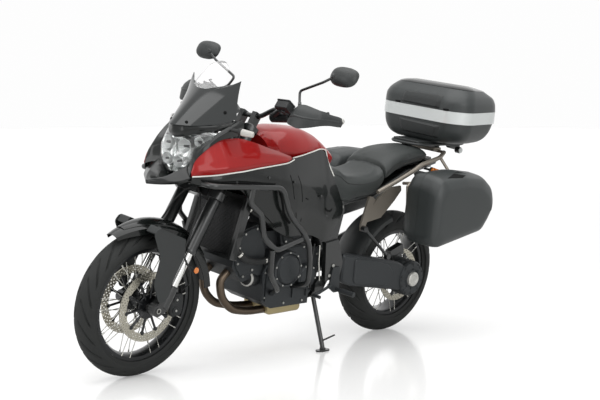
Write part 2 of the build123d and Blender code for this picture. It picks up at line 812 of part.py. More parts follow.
# The seam between the red panels and the black cowls, as (x, y, z).
seam = [(1490, 166, 913), (1335, 234, 934), (1196, 238, 950), (1002, 222, 966), (940, 200, 978)]


def seam_point(x, lift=0):
    """The seam's (y, z) at a station x, raised by lift."""
    for (x1, y1, z1), (x2, y2, z2) in zip(seam, seam[1:]):
        if x2 <= x <= x1:
            share = (x1 - x) / (x1 - x2)
            return (y1 + (y2 - y1) * share, z1 + (z2 - z1) * share + lift)


# Columns: station x, then the (y, z) points of the panel's crease and of its top edge.
red_rows = [
    (1490, (166, 932), (156, 956)),
    (1335, (234, 990), (156, 1064)),
    (1196, (232, 1006), (157, 1055)),
    (1002, (214, 990), (188, 1006)),
    (965, (204, 985), (198, 993)),
]
with BuildPart() as red_side_panels:
    cross_loft([
        (x, panel_section([seam_point(x, seat_gap), crease, top], panel_wall))
        for x, crease, top in red_rows
    ])
    mirror(about=Plane.XZ)

# Columns: station x, then the (y, z) points of the lower edge and of the crease below the seam.
cowl_rows = [
    (1490, (150, 878), (160, 898)),
    (1335, (214, 868), (230, 905)),
    (1196, (222, 790), (236, 885)),
    (1002, (218, 640), (240, 860)),
    (940, (214, 622), (236, 850)),
]
# Behind the seam the cowl's top edge runs up to the tank and down under the seat.
rear_cowl_rows = [
    (818, (212, 620), (222, 820), (172, 1004)),
    (692, (204, 574), (200, 800), (150, 998)),
    (640, (200, 610), (200, 740), (184, 866)),
    (577, (192, 700), (192, 720), (190, 744)),
]
with BuildPart() as side_cowls:
    cross_loft([
        *[(x, panel_section([low, crease, seam_point(x)], panel_wall)) for x, low, crease in cowl_rows],
        *[(x, panel_section([low, crease, top], panel_wall)) for x, low, crease, top in rear_cowl_rows],
    ])
    mirror(about=Plane.XZ)

with BuildPart() as front_cowl:
    cross_loft([
        (1588, both_sides([(0, 890), (10, 884), (10, 872), (0, 870)])),
        (1552, both_sides([(0, 902), (52, 898), (60, 872), (0, 858)])),
        (1490, both_sides([(0, 906), (128, 930), (146, 880), (0, 862)])),
        (1400, both_sides([(0, 906), (140, 950), (150, 900), (0, 890)])),
    ])

with BuildPart() as headlight:
    cross_loft([
        (1516, both_sides([(0, 1040), (30, 1042), (50, 1000), (36, 925), (0, 920)])),
        (1480, both_sides([(0, 1070), (84, 1068), (104, 1010), (60, 940), (0, 932)])),
        (1400, both_sides([(0, 1090), (140, 1098), (138, 1010), (110, 962), (0, 950)])),
    ])

screen_wall = 4
screen_top_z = 1336
cowl_top_z = 1126


def screen_arc(side_x, side_y, middle_x):
    """One level outline of the screen: its outer arc, the same arc moved in by the wall, and two edges."""
    inner_x, inner_y = side_x - 1, side_y - screen_wall
    with BuildLine() as outline:
        ThreePointArc((side_x, -side_y), (middle_x, 0), (side_x, side_y))
        Line((side_x, side_y), (inner_x, inner_y))
        ThreePointArc((inner_x, inner_y), (middle_x - screen_wall, 0), (inner_x, -inner_y))
        Line((inner_x, -inner_y), (side_x, -side_y))
    return outline.line


with BuildPart() as windscreen:
    with BuildSketch(Plane.XY.offset(cowl_top_z + seat_gap)):
        add(screen_arc(1322, 188, 1500))
        make_face()
    with BuildSketch(Plane.XY.offset(screen_top_z)):
        add(screen_arc(1272, 196, 1372))
        make_face()
    loft(ruled=True)

shelf_z = cowl_top_z - 27.5
with BuildPart() as dash:
    cross_loft([
        (1392, both_sides([(0, 1122), (120, 1118), (140, 1104), (0, 1100)])),
        (1300, both_sides([(0, 1150), (110, 1146), (150, 1110), (0, 1100)])),
        (1226, both_sides([(0, 1212), (100, 1204), (120, 1172), (0, 1168)])),
        (1204, both_sides([(0, 1218), (92, 1208), (92, 1172), (0, 1168)])),
    ])
    with BuildSketch(Plane.XY.offset(shelf_z)):
        with BuildLine():
            ThreePointArc((1300, -190), (1506, 0), (1300, 190))
            Line((1300, 190), (1300, -190))
        make_face()
    extrude(amount=cowl_top_z - shelf_z)

# ---- rear frame ------------------------------------------------------------------------------------
sub_tube_r = 13
sub_points = [(572, 118, 722), (300, 122, 766), (40, 112, 872), (-180, 96, 912)]


def subframe_rails(radius, mode=Mode.ADD):
    """The rear frame's two upper rails: straight tubes with round joints."""
    for side in (1, -1):
        points = [(x, side * y, z) for x, y, z in sub_points]
        for start, end in zip(points, points[1:]):
            rod(start, end, radius, mode=mode)
        with Locations(*points[1:-1]):
            Sphere(radius, mode=mode)


with BuildPart() as subframe:
    subframe_rails(sub_tube_r)
    rod((300, -122, 766), (300, 122, 766), 9)
    rod((40, -112, 872), (40, 112, 872), 9)
    rod((-170, -98, 910), (-170, 98, 910), 9)
    wheel_disc(cross_tube_r + seat_gap, -165, 165, centre=cross_tube, mode=Mode.SUBTRACT)

# Half outlines of (y, z) points from the top centre down to the bottom centre.
with BuildPart() as rider_seat:
    cross_loft([
        (634, both_sides([(0, 866), (114, 864), (130, 888), (156, 862), (150, 800), (0, 790)])),
        (574, both_sides([(0, 926), (90, 920), (130, 900), (162, 846), (160, 770), (0, 768)])),
        (500, both_sides([(0, 868), (90, 864), (140, 850), (166, 816), (160, 744), (0, 742)])),
        (420, both_sides([(0, 854), (104, 856), (146, 844), (164, 812), (156, 756), (0, 754)])),
        (310, both_sides([(0, 872), (110, 868), (150, 852), (158, 828), (150, 780), (0, 774)])),
        (240, both_sides([(0, 930), (100, 918), (136, 900), (148, 866), (146, 842), (0, 800)])),
    ])
    subframe_rails(sub_tube_r + seat_gap, mode=Mode.SUBTRACT)
with BuildPart() as pillion_seat:
    cross_loft([
        (239.7, both_sides([(0, 932), (100, 920), (136, 901), (148, 867), (146, 844), (0, 802)])),
        (140, both_sides([(0, 972), (90, 966), (128, 948), (144, 918), (140, 894), (0, 842)])),
        (0, both_sides([(0, 984), (84, 980), (122, 964), (138, 944), (134, 926), (0, 886)])),
        (-100, both_sides([(0, 986), (76, 984), (108, 972), (124, 954), (118, 940), (0, 906)])),
    ])
    subframe_rails(sub_tube_r + seat_gap, mode=Mode.SUBTRACT)
    rod((40, -112, 872), (40, 112, 872), 9 + seat_gap, mode=Mode.SUBTRACT)

# ---- tail and racks --------------------------------------------------------------------------------
rail_r = 11
rail_runs = [
    (318, 172, 788), (190, 174, 836), (64, 170, 884), (0, 162, 912), (-170, 142, 942), (-236, 110, 962),
]
rail_bend = 20
with BuildPart() as grab_rails:
    pipe(rail_runs, rail_r, rail_bend)
    rod((64, 166, 884), (40, 112, 872), 8)
    rod((-170, 142, 942), (-170, 97, 910.2), 8)
    mirror(about=Plane.XZ)
    subframe_rails(sub_tube_r + seat_gap, mode=Mode.SUBTRACT)
    rod((-232, -114, 960), (-232, 114, 960), 8)
    beam((-190, 0, 972), (-250, 0, 972), 150, 20)

bracket_in_y = sub_points[1][1] + sub_tube_r + seat_gap
bracket_out_y = bracket_in_y + 12
with BuildPart() as peg_brackets:
    side_plate(
        [(357, 631), (331, 700), (277, 755), (200, 800), (120, 806), (114, 782), (158, 732), (247, 650)],
        bracket_in_y,
        bracket_out_y,
    )
    side_plate(
        [(330, 690), (300, 742), (318, 758), (345, 764), (386, 620), (380, 590), (357, 590)],
        bracket_in_y,
        bracket_out_y,
    )
    mirror(about=Plane.XZ)

with BuildPart() as tail_cowl:
    cross_loft([
        (262, both_sides([(0, 788), (92, 788), (96, 766), (0, 760)])),
        (100, both_sides([(0, 852), (88, 852), (92, 826), (0, 800)])),
        (-101, both_sides([(0, 903), (78, 903), (84, 872), (0, 840)])),
        (-122, both_sides([(0, 924), (76, 924), (82, 876), (0, 842)])),
        (-196, both_sides([(0, 930), (60, 930), (66, 880), (0, 850)])),
    ])
    add(subframe.part, mode=Mode.SUBTRACT)

with BuildPart() as tail_lamp:
    cross_loft([
        (-196.3, both_sides([(0, 920), (56, 920), (60, 884), (0, 866)])),
        (-222, both_sides([(0, 912), (40, 910), (44, 888), (0, 876)])),
    ])

with BuildPart() as indicators:
    rod((1318, 174, 1112), (1298, 222, 1108), 9)
    rod((1298, 222, 1108), (1268, 278, 1103), 17)
    rod((-120, 82, 876), (-128, 128, 874), 6)
    rod((-128, 128, 874), (-132, 176, 872), 16)
    add(dash.part, mode=Mode.SUBTRACT)
    add(tail_cowl.part, mode=Mode.SUBTRACT)
    mirror(about=Plane.XZ)

with BuildPart() as plate_hanger:
    side_plate(
        [(-150, 852), (-190, 846), (-330, 640), (-340, 560), (-326, 560), (-316, 636), (-180, 838)], -40, 40
    )
    add(tail_cowl.part, mode=Mode.SUBTRACT)
    side_plate([(-345, 650), (-352, 560), (-326, 560), (-328, 570)], -100, 100)

rack_high_z = top_case_floor_z - 10
rack_low_z = rack_high_z - 14
with BuildPart() as rack_plate:
    top_plate(
        [(80, 60), (80, -60), (20, -120), (-380, -120), (-470, -60), (-470, 60), (-380, 120), (20, 120)],
        rack_low_z,
        rack_high_z,
    )
    top_plate([(40, 90), (40, -90), (-420, -90), (-420, 90)], rack_high_z, top_case_floor_z - seat_gap)
    rod((-400, 0, 985), (-482, 0, 970), 20)
    rod((-232, -60, 982.5), (-232, -60, 996), 14)
    rod((-232, 60, 982.5), (-232, 60, 996), 14)

# ---- luggage ---------------------------------------------------------------------------------------
def level_ring(z, front_x, rear_x, front_half, rear_half, corner, wall=0):
    """The top case's outline at one height: a rounded trapezium, drawn inside its wall."""
    with BuildSketch(Plane.XY.offset(z)) as outline:
        with BuildLine():
            Polyline(
                (front_x - wall, front_half - corner),
                (front_x - corner, front_half - wall),
                (rear_x + corner, rear_half - wall),
                (rear_x + wall, rear_half - corner),
                (rear_x + wall, -rear_half + corner),
                (rear_x + corner, -rear_half + wall),
                (front_x - corner, -front_half + wall),
                (front_x - wall, -front_half + corner),
                close=True,
            )
        make_face()
    return outline.sketch


# Columns: height, front x, rear x, half width at the front, half width at the rear, corner.
top_case_front_x = top_case_hinge_x - 2
top_base_rows = [
    (top_case_floor_z, -134, -440, 214, 180, 70),
    (top_case_floor_z + 30, -118, -500, 262, 216, 74),
    (top_case_band_z, top_case_front_x - 4, -534, 288, 240, 78),
]
band_rows = [
    (top_case_band_z + seat_gap, top_case_front_x, -541, 292, 244, 79),
    (top_case_seam_z, top_case_front_x, -541, 293, 245, 79),
]
top_lid_rows = [
    (top_case_seam_z + lid_gap, top_case_front_x - 2, -540, 292, 244, 78),
    (1268, -118, -524, 282, 226, 76),
    (1316, -164, -480, 240, 176, 70),
    (1334, -200, -420, 190, 140, 60),
]


def hollow_case(rows, floor, cap):
    """A case wall lofted through level rings, its inside lofted away above the floor or below the cap."""
    loft([level_ring(*row) for row in rows], ruled=True)
    inside = [list(row) for row in rows]
    inside[0][0] += case_wall if floor else -1
    inside[-1][0] += -case_wall if cap else 1
    loft([level_ring(*row, wall=case_wall) for row in inside], ruled=True, mode=Mode.SUBTRACT)


with BuildPart() as top_case_base:
    hollow_case(top_base_rows, floor=True, cap=False)
with BuildPart() as top_case_band:
    hollow_case(band_rows, floor=False, cap=False)
with BuildPart() as top_case_lid:
    hollow_case(top_lid_rows, floor=False, cap=True)

# Side cases. Columns: station x, bottom z, then outer y and z at the shoulder, and the crest's y and z.
side_case_rows = [
    (212, 566, 440, 780, 320, 880),
    (176, 550, 476, 812, 336, 908),
    (-20, 586.5, 484, 830, 340, 922),
    (-200, 620, 478, 812, 338, 908),
    (-268, 660, 440, 760, 326, 860),
]


def case_section(low_z, shoulder_y, shoulder_z, crest_y, crest_z, wall=0):
    """A side case's section, drawn inside its wall."""
    return [
        (case_in_y + wall, low_z + 20 + wall),
        (case_in_y + wall, crest_z - 40 - wall),
        (case_in_y + 24 + wall, crest_z - 8 - wall),
        (crest_y, crest_z - wall),
        (shoulder_y - 30 - wall, shoulder_z + 62 - wall),
        (shoulder_y - wall, shoulder_z - wall),
        (shoulder_y - wall, low_z + 80 + wall),
        (shoulder_y - 40 - wall, low_z + wall),
        (case_in_y + 40 + wall, low_z + wall),
    ]


with BuildPart() as side_case:
    cross_loft([(row[0], case_section(*row[1:])) for row in side_case_rows])
    inner_rows = [list(row) for row in side_case_rows]
    inner_rows[0][0] -= case_wall
    inner_rows[-1][0] += case_wall
    cross_loft([(row[0], case_section(*row[1:], wall=case_wall)) for row in inner_rows], mode=Mode.SUBTRACT)

with BuildPart() as side_case_shells:
    add(side_case.part)
    split(bisect_by=Plane.XZ.offset(-case_seam_y + lid_gap / 2), keep=Keep.TOP)
    mirror(about=Plane.XZ)
with BuildPart() as left_case_lid:
    add(side_case.part)
    split(bisect_by=Plane.XZ.offset(-case_seam_y - lid_gap / 2), keep=Keep.BOTTOM)
with BuildPart() as right_case_lid:
    add(left_case_lid.part.mirror(Plane.XZ))

carrier_r = 8
carrier_y = case_in_y - seat_gap - carrier_r
loop_start = (150, carrier_y, 836)
loop_end = (168, carrier_y, 820)
with BuildPart() as case_carriers:
    pipe(
        [
            loop_start, (-190, carrier_y, 850), (-214, carrier_y, 700), (140, carrier_y, 640), loop_end,
        ],
        carrier_r,
        30,
    )
    rod(loop_start, (140, 178, 826), carrier_r)
    rod((-180, carrier_y, 850), (-170, 142, 942), carrier_r)
    pipe(rail_runs, rail_r + seat_gap, rail_bend, mode=Mode.SUBTRACT)
    with Locations(loop_start, loop_end):
        Sphere(carrier_r)
    rod(loop_start, loop_end, carrier_r)
    mirror(about=Plane.XZ)

# ---- guards, pegs and stand ------------------------------------------------------------------------
with BuildPart() as crash_bars:
    pipe(
        [
            (1446, 176, 884), (1446, 248, 882), (1058, 272, 863), (1018, 290, 743), (922, 300, 647),
            (881, 290, 604), (840, 270, 506), (830, 262, 400), (812, crank_half - 6, 356),
        ],
        crash_bar_r,
        30,
    )
    pipe(
        [
            (1225, 262, 870), (1236, 262, 800), (1178, 282, 751), (1172, 300, 652), (1105, 318, 593),
            (940, 300, 628),
        ],
        crash_bar_r,
        22,
    )
    pipe([(1125, 312, 597), (1100, 290, 475), (1020, 262, 392), (940, crank_half - 6, 336)], crash_bar_r, 24)
    side_plate([(780, 280), (780, 420), (980, 420), (980, 280)], 0, crank_half + seat_gap, mode=Mode.SUBTRACT)
    add(side_cowls.part, mode=Mode.SUBTRACT)
    mirror(about=Plane.XZ)

with BuildPart() as rider_pegs:
    side_plate(
        [(606, 440), (560, 440), (548, 316), (584, 314), (620, 340)], plate_out_y + seat_gap, plate_out_y + 9
    )
    rod((566, 192, 330), (566, 232, 328), 10)
    rod((566, 232, 328), (556, 304, 326), 13)
    rod((600, 192, 352), (700, 214, 330), 7)
    rod((700, 214, 330), (740, 214, 322), 7)
    rod((736, 210, 322), (736, 256, 322), 8)
    mirror(about=Plane.XZ)

with BuildPart() as torque_rod:
    rod((372, 162, 604), (180, 162, 449.4), 8)
    wheel_disc(15, bracket_out_y + seat_gap, 172, centre=(372, 604))
    wheel_disc(15, 152, 172, centre=(180, 449.4))

hugger_r = rear_tyre_r + 17
hugger_half = rear_tyre_half + 13
hugger_wall = 3
hugger_lip = 20
hugger_from, hugger_to = 14, 74
hugger_start = math.radians(hugger_from)
hugger_plane = Plane(
    origin=(0, 0, rear_tyre_r),
    x_dir=(math.cos(hugger_start), 0, math.sin(hugger_start)),
    z_dir=(math.sin(hugger_start), 0, -math.cos(hugger_start)),
)
lug_reach = hugger_r - 1.5 * hugger_lip
with BuildPart() as rear_hugger:
    with BuildSketch(hugger_plane) as section:
        with BuildLine():
            shoulder = hugger_r - hugger_lip
            inner = hugger_half - hugger_wall
            ThreePointArc((shoulder, -hugger_half), (hugger_r + 6, 0), (shoulder, hugger_half))
            Polyline(
                (shoulder, hugger_half), (shoulder - hugger_lip, hugger_half),
                (shoulder - hugger_lip, inner), (shoulder - 2, inner),
            )
            ThreePointArc((shoulder - 2, inner), (hugger_r + 6 - hugger_wall, 0), (shoulder - 2, -inner))
            Polyline(
                (shoulder - 2, -inner), (shoulder - hugger_lip, -inner),
                (shoulder - hugger_lip, -hugger_half), (shoulder, -hugger_half),
            )
        make_face()
    revolve(section.sketch, axis=Axis((0, 0, rear_tyre_r), (0, 1, 0)), revolution_arc=hugger_from - hugger_to)
    for lug_angle in (16.3, 20.4):
        lug_x = lug_reach * math.cos(math.radians(lug_angle))
        lug_z = rear_tyre_r + lug_reach * math.sin(math.radians(lug_angle))
        rod((lug_x, inner + 1, lug_z), (lug_x, arm_in_y - seat_gap, lug_z), 7)

# The stand's shoe lies flat on the ground, so it is modelled where the motorcycle is parked.
stand_leg_r = 11
shoe_centre = (stand_foot[0] + origin_shift[0], stand_foot[1] + origin_shift[1])
shoe_thick = 8
ankle_z = 14
ankle = Vector(*(parked.inverse() * Location((*shoe_centre, ankle_z))).position)
with BuildPart() as side_stand:
    rod(stand_pivot, ankle, stand_leg_r)
    wheel_disc(
        18, stand_pivot[1] - stand_hub_half, stand_pivot[1] + stand_hub_half,
        centre=(stand_pivot[0], stand_pivot[2]),
    )
    rod(ankle + Vector(0, -10, 34), ankle + Vector(-26, 46, 76), 4)
with BuildPart() as stand_shoe:
    with BuildSketch(Plane.XY):
        with Locations(shoe_centre):
            SlotOverall(76, 44)
    extrude(amount=shoe_thick)
    with BuildSketch(Plane.XY.offset(shoe_thick)):
        with Locations(shoe_centre):
            Circle(15)
    extrude(amount=shoe_thick)
side_stand.part = parked * side_stand.part + stand_shoe.part

# ---- parking and writing the pieces ----------------------------------------------------------------
front_wheel_place = fork_pose * Location((axle_u, 0, axle_s))
rear_wheel_place = parked * Location((0, 0, rear_tyre_r))
groups = [
    (front_wheel_place, dict(
        front_wheel_rim=front_wheel_rim, front_tyre=front_tyre, front_discs=front_discs,
    )),
    (rear_wheel_place, dict(rear_wheel_rim=rear_wheel_rim, rear_tyre=rear_tyre, rear_disc=rear_disc)),
    (fork_pose, dict(
        yokes=yokes, fork_tubes=fork_tubes, fork_lowers=fork_lowers, front_axle=front_axle,
        front_fender=front_fender, handlebar=handlebar, grips=grips, bar_controls=bar_controls,
        hand_guards=hand_guards, mirrors=mirrors, front_calipers=front_calipers,
        brake_hoses=brake_hoses,
    )),
    (parked, dict(
        main_frame=main_frame, crankcase=crankcase, cylinders=cylinders, engine_covers=engine_covers,
        radiator=radiator, exhaust_headers=exhaust_headers, silencer=silencer, swingarm=swingarm,
        final_drive=final_drive, rear_caliper=rear_caliper, rear_shock=rear_shock,
        torque_rod=torque_rod, rear_hugger=rear_hugger, fuel_tank=fuel_tank,
        red_side_panels=red_side_panels, side_cowls=side_cowls, front_cowl=front_cowl,
        headlight=headlight, windscreen=windscreen, dash=dash, indicators=indicators,
        rider_seat=rider_seat, pillion_seat=pillion_seat, subframe=subframe, grab_rails=grab_rails,
        peg_brackets=peg_brackets, rider_pegs=rider_pegs, tail_cowl=tail_cowl, tail_lamp=tail_lamp,
        plate_hanger=plate_hanger, rack_plate=rack_plate, top_case_base=top_case_base,
        top_case_band=top_case_band, top_case_lid=top_case_lid, side_case_shells=side_case_shells,
        left_case_lid=left_case_lid, right_case_lid=right_case_lid, case_carriers=case_carriers,
        crash_bars=crash_bars,
    )),
    (Location(), dict(side_stand=side_stand)),
]
for pose, pieces in groups:
    for name, piece in pieces.items():
        finish(piece, name, pose)
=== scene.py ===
# %% [markdown]
# # An adventure motorcycle, dressed
#
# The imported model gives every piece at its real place: wheels, fork, frame, cases and joints. This
# script keeps that frame and gives the motorcycle its looks. Each step has a short note first: what the
# piece is on the real machine, how it could be made, and why this way was chosen.

# %% Load the frame
import json
import math

import bpy
import numpy as np
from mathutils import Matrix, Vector
from mathutils.bvhtree import BVHTree


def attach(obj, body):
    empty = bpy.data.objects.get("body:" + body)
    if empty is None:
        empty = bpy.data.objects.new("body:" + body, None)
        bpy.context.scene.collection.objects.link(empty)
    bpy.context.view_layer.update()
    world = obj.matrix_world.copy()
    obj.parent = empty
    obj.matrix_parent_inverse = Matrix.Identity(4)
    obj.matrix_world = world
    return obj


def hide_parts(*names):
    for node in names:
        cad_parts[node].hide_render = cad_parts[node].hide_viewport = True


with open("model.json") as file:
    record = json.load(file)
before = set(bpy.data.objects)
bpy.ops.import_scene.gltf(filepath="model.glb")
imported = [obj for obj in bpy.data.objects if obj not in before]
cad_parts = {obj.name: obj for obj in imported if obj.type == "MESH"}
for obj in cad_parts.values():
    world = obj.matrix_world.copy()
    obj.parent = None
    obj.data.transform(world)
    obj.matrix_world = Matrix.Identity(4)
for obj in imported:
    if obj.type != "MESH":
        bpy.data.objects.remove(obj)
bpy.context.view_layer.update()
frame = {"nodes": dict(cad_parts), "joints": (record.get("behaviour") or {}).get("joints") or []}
nodes = frame["nodes"]

# %% [markdown]
# ## Two rulers
#
# A leaning, steered motorcycle is awkward to measure, so shapes are drawn in two straight rulers. Bike
# coordinates have X forwards from the rear axle, Y to the rider's left and Z up from the ground, in
# millimetres. Fork coordinates have u forwards, y left and s along the steering axis. Both are read from
# the joints' axes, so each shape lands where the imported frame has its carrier, with no fitting. Forwards is
# the steering axis turned back by the caster angle in the bike's middle plane.

# %% The rulers
rear_wheel_r = 321
front_wheel_r = 329
caster = math.radians(28)
axle_u = 60
axle_s = (front_wheel_r - axle_u * math.sin(caster)) / math.cos(caster)
rear_hub = np.array([0, 0, rear_wheel_r])
front_hub = np.array([axle_u, 0, axle_s])
sideways, upright = (0, 1, 0), (0, 0, 1)
joints = {joint["name"]: joint for joint in frame["joints"]}


def unit(vector):
    """A vector, or each row of an array of vectors, divided by its length."""
    vector = np.asarray(vector, float)
    return vector / np.maximum(np.linalg.norm(vector, axis=-1, keepdims=True), 1e-12)


rear_spin, front_spin = joints["rear_wheel_spin"], joints["front_wheel_spin"]
left = unit(rear_spin["axis"])
fork_up = unit(joints["steering"]["axis"])
fork_left = unit(front_spin["axis"])
forward = math.cos(caster) * np.cross(left, fork_up) - math.sin(caster) * fork_up
bike_axes = np.array([forward, left, np.cross(forward, left)])
fork_axes = np.array([np.cross(fork_left, fork_up), fork_left, fork_up])


def bike(points):
    """Bike coordinates in mm to the row frame in m: the rear axle, plus offsets along the bike's axes."""
    offset = np.asarray(points, float) - rear_hub
    return np.array(rear_spin["pos_m"]) + offset @ bike_axes / 1000


def fork(points):
    """Fork coordinates in mm to the row frame in m: the front axle, plus offsets along the fork's axes."""
    offset = np.asarray(points, float) - front_hub
    return np.array(front_spin["pos_m"]) + offset @ fork_axes / 1000


def row(points):
    """Row coordinates in mm to m."""
    return np.asarray(points, float) / 1000


print("ground under the rear axle:", np.round(bike([0, 0, 0]), 4))

# %% [markdown]
# ## Surfaces from arrays
#
# Every new piece is one or more grids of points. A grid is a function of two parameters, worked out as a
# whole array, and its quads follow from the grid's size alone. Joining several grids in one mesh keeps
# repeated things, such as spokes, in one piece. Faces of closed grids are turned outwards by the sign of
# the volume that they enclose.


# %% Grids to meshes
def quads(rows, columns, wrap_rows=False):
    """Corner numbers of the quads of a grid of looped rows: a point, its next, and both in the next row."""
    r = np.arange(rows if wrap_rows else rows - 1)[:, None]
    c = np.arange(columns)[None, :]
    r2, c2 = (r + 1) % rows, (c + 1) % columns
    corners = [r * columns + c, r * columns + c2, r2 * columns + c2, r2 * columns + c]
    return np.stack([np.broadcast_to(k, (r.size, c.size)) for k in corners], -1).reshape(-1, 4)


def grid(points, wrap_rows=False, caps=True):
    """A surface from an array of looped rows, columns and coordinates; caps close its first and last row."""
    points = np.asarray(points, float)
    rows, columns = points.shape[:2]
    faces = [list(face) for face in quads(rows, columns, wrap_rows)]
    if caps and not wrap_rows:
        last = (rows - 1) * columns
        faces.append(list(range(columns))[::-1])
        faces.append(list(range(last, last + columns)))
    flat = points.reshape(-1, 3)
    if (wrap_rows or caps) and enclosed_volume(flat, faces) < 0:
        faces = [face[::-1] for face in faces]
    return flat, faces


def enclosed_volume(points, faces):
    """Sum of the signed tetrahedra from the middle to each face, fanned from the face's first corner."""
    middle = points - points.mean(0)
    corners = [(f[0], f[i], f[i + 1]) for f in faces for i in range(1, len(f) - 1)]
    a, b, c = (middle[list(k)] for k in zip(*corners))
    return np.einsum("ij,ij->", a, np.cross(b, c)) / 6


def joined(surfaces):
    """Several surfaces as one: their points in a row, and each one's face numbers moved up to match."""
    points, faces, start = [], [], 0
    for some_points, some_faces in surfaces:
        points.append(some_points)
        faces += [[k + start for k in face] for face in some_faces]
        start += len(some_points)
    return np.concatenate(points), faces


def mirror_only(surface):
    """The mirror image of a surface across the middle plane, with its faces turned back outwards."""
    points, faces = surface
    return points * [1, -1, 1], [face[::-1] for face in faces]


def mirrored(surface):
    """A surface with its mirror image, as one."""
    return joined([surface, mirror_only(surface)])


def piece(name, surface, ruler, material, body, replaces=(), sharp=35):
    """A mesh object from a surface: placed by its ruler, smooth up to the sharp angle, riding on a body."""
    points, faces = surface
    mesh = bpy.data.meshes.new(name)
    mesh.from_pydata(ruler(points).tolist(), [], faces)
    mesh.update()
    mesh.polygons.foreach_set("use_smooth", np.ones(len(mesh.polygons), bool))
    mesh.set_sharp_from_angle(angle=math.radians(sharp))
    mesh.materials.append(material)
    made = bpy.data.objects.new(name, mesh)
    bpy.context.scene.collection.objects.link(made)
    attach(made, body)
    if replaces:
        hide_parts(*replaces)
    return made

# %% [markdown]
# ## Shapes that repeat
#
# A motorcycle is mostly bent tubes, turned rings, pressed plates and skins. Each is a profile carried
# along something: along a path, round an axis, or from station to station. These few functions make
# nearly every piece below.


# %% Curves
def spline(values, count):
    """A smooth curve through values: each span mixes its four nearest points by the Catmull-Rom cubic."""
    values = np.asarray(values, float)
    spans = len(values) - 1
    t = np.linspace(0, spans, count)
    k = np.minimum(t.astype(int), spans - 1)
    f = (t - k).reshape(-1, *[1] * (values.ndim - 1))
    longer = np.concatenate([[2 * values[0] - values[1]], values, [2 * values[-1] - values[-2]]])
    a, b, c, d = (longer[k + i] for i in range(4))
    return 0.5 * (2 * b + (c - a) * f + (2 * a - 5 * b + 4 * c - d) * f**2 + (3 * b - a - 3 * c + d) * f**3)


def rounded(points, bend, steps=7, closed=False):
    """A path with soft corners: each corner becomes a quadratic curve that starts and ends a bend away."""
    points = np.asarray(points, float)
    around = len(points)
    share = np.linspace(0, 1, steps)[:, None]
    inner = range(around) if closed else range(1, around - 1)
    out = [] if closed else [points[:1]]
    for i in inner:
        corner, before, after = points[i], points[i - 1], points[(i + 1) % around]
        reach = min(bend, np.linalg.norm(before - corner) * 0.45, np.linalg.norm(after - corner) * 0.45)
        start = corner + unit(before - corner) * reach
        end = corner + unit(after - corner) * reach
        out.append((1 - share) ** 2 * start + 2 * share * (1 - share) * corner + share**2 * end)
    if not closed:
        out.append(points[-1:])
    return np.concatenate(out)


# %% Solids carried along, round and across
def full_turn(steps):
    """Evenly spaced turns once round, in radians."""
    return np.linspace(0, 2 * np.pi, steps, endpoint=False)


def round_axis(axis, turn):
    """Unit vectors square to an axis, at turns round it."""
    axis = unit(axis)
    across = unit(np.cross(axis, [0, 0, 1] if abs(axis[2]) < 0.9 else [1, 0, 0]))
    return np.cos(turn) * across + np.sin(turn) * np.cross(axis, across)


def round_the_hub(centre, turn, radius, y):
    """Points at turns (radians, from forwards to up) and radii round a wheel's axle."""
    turn, radius, y = np.broadcast_arrays(turn, radius, y)
    return np.stack([radius * np.cos(turn), y, radius * np.sin(turn)], -1) + centre


def tube(path, radius, sides=14):
    """A circle carried along a path, square to it. The radius is one number or one for each point."""
    path = np.asarray(path, float)
    along = unit(np.gradient(path, axis=0))
    flattest = np.argmin(np.abs(along).max(0))
    across = unit(np.cross(along, np.eye(3)[flattest]))
    upward = np.cross(along, across)
    turn = full_turn(sides)[None, :, None]
    ring = np.cos(turn) * across[:, None] + np.sin(turn) * upward[:, None]
    reach = np.broadcast_to(np.asarray(radius, float), (len(path),))[:, None, None]
    return grid(path[:, None] + ring * reach)


def bar(start, end, radius, end_radius=None, sides=14):
    """A straight round bar with softened ends, which may taper to another radius."""
    start, end = np.asarray(start, float), np.asarray(end, float)
    far = radius if end_radius is None else end_radius
    ease = min(0.18 * min(radius, far) / max(np.linalg.norm(end - start), 1e-6), 0.2)
    share = np.array([0, ease, 1 - ease, 1])
    size = np.array([radius * 0.86, radius, far, far * 0.86])
    return tube(start + share[:, None] * (end - start), size, sides)


def turned(profile, centre, axis=sideways, steps=96):
    """A profile of (radius, position along the axis) points turned once round the axis."""
    profile = np.asarray(profile, float)
    ring = round_axis(axis, full_turn(steps)[:, None, None])
    points = np.asarray(centre, float) + profile[None, :, :1] * ring + profile[None, :, 1:] * unit(axis)
    return grid(points, wrap_rows=True, caps=False)


def disc(centre, axis, radius, low, high, edge=1.0, steps=40):
    """A round plate with a bevelled edge, from low to high along its axis, closed at both faces."""
    ring = round_axis(axis, full_turn(steps)[None, :, None])
    size = np.array([radius - edge, radius, radius, radius - edge])[:, None, None]
    along = np.array([low, low + edge, high - edge, high])[:, None, None]
    return grid(np.asarray(centre, float) + size * ring + along * unit(axis))


def inset(outline, amount):
    """A flat outline moved inwards: each corner goes along the mean of its two edges' inward normals."""
    outline = np.asarray(outline, float)
    edge = unit(np.roll(outline, -1, 0) - outline)
    before = np.roll(edge, 1, 0)
    area = np.cross(outline, np.roll(outline, -1, 0)).sum()
    way = 1 if area > 0 else -1
    normal = np.stack([-(edge + before)[:, 1], (edge + before)[:, 0]], -1)
    half = np.maximum(np.linalg.norm(normal, axis=1, keepdims=True) / 2, 0.35)
    return outline + way * amount * unit(normal) / half


def plate(outline, low, high, edge=1.5, across=1):
    """A flat outline given thickness along one axis (0, 1 or 2), with its rims bevelled by edge."""
    outline = np.asarray(outline, float)
    rings = [inset(outline, edge), outline, outline, inset(outline, edge)]
    heights = [low, low + edge, high - edge, high]
    layers = [np.insert(ring, across, height, axis=1) for ring, height in zip(rings, heights)]
    return grid(np.stack(layers))


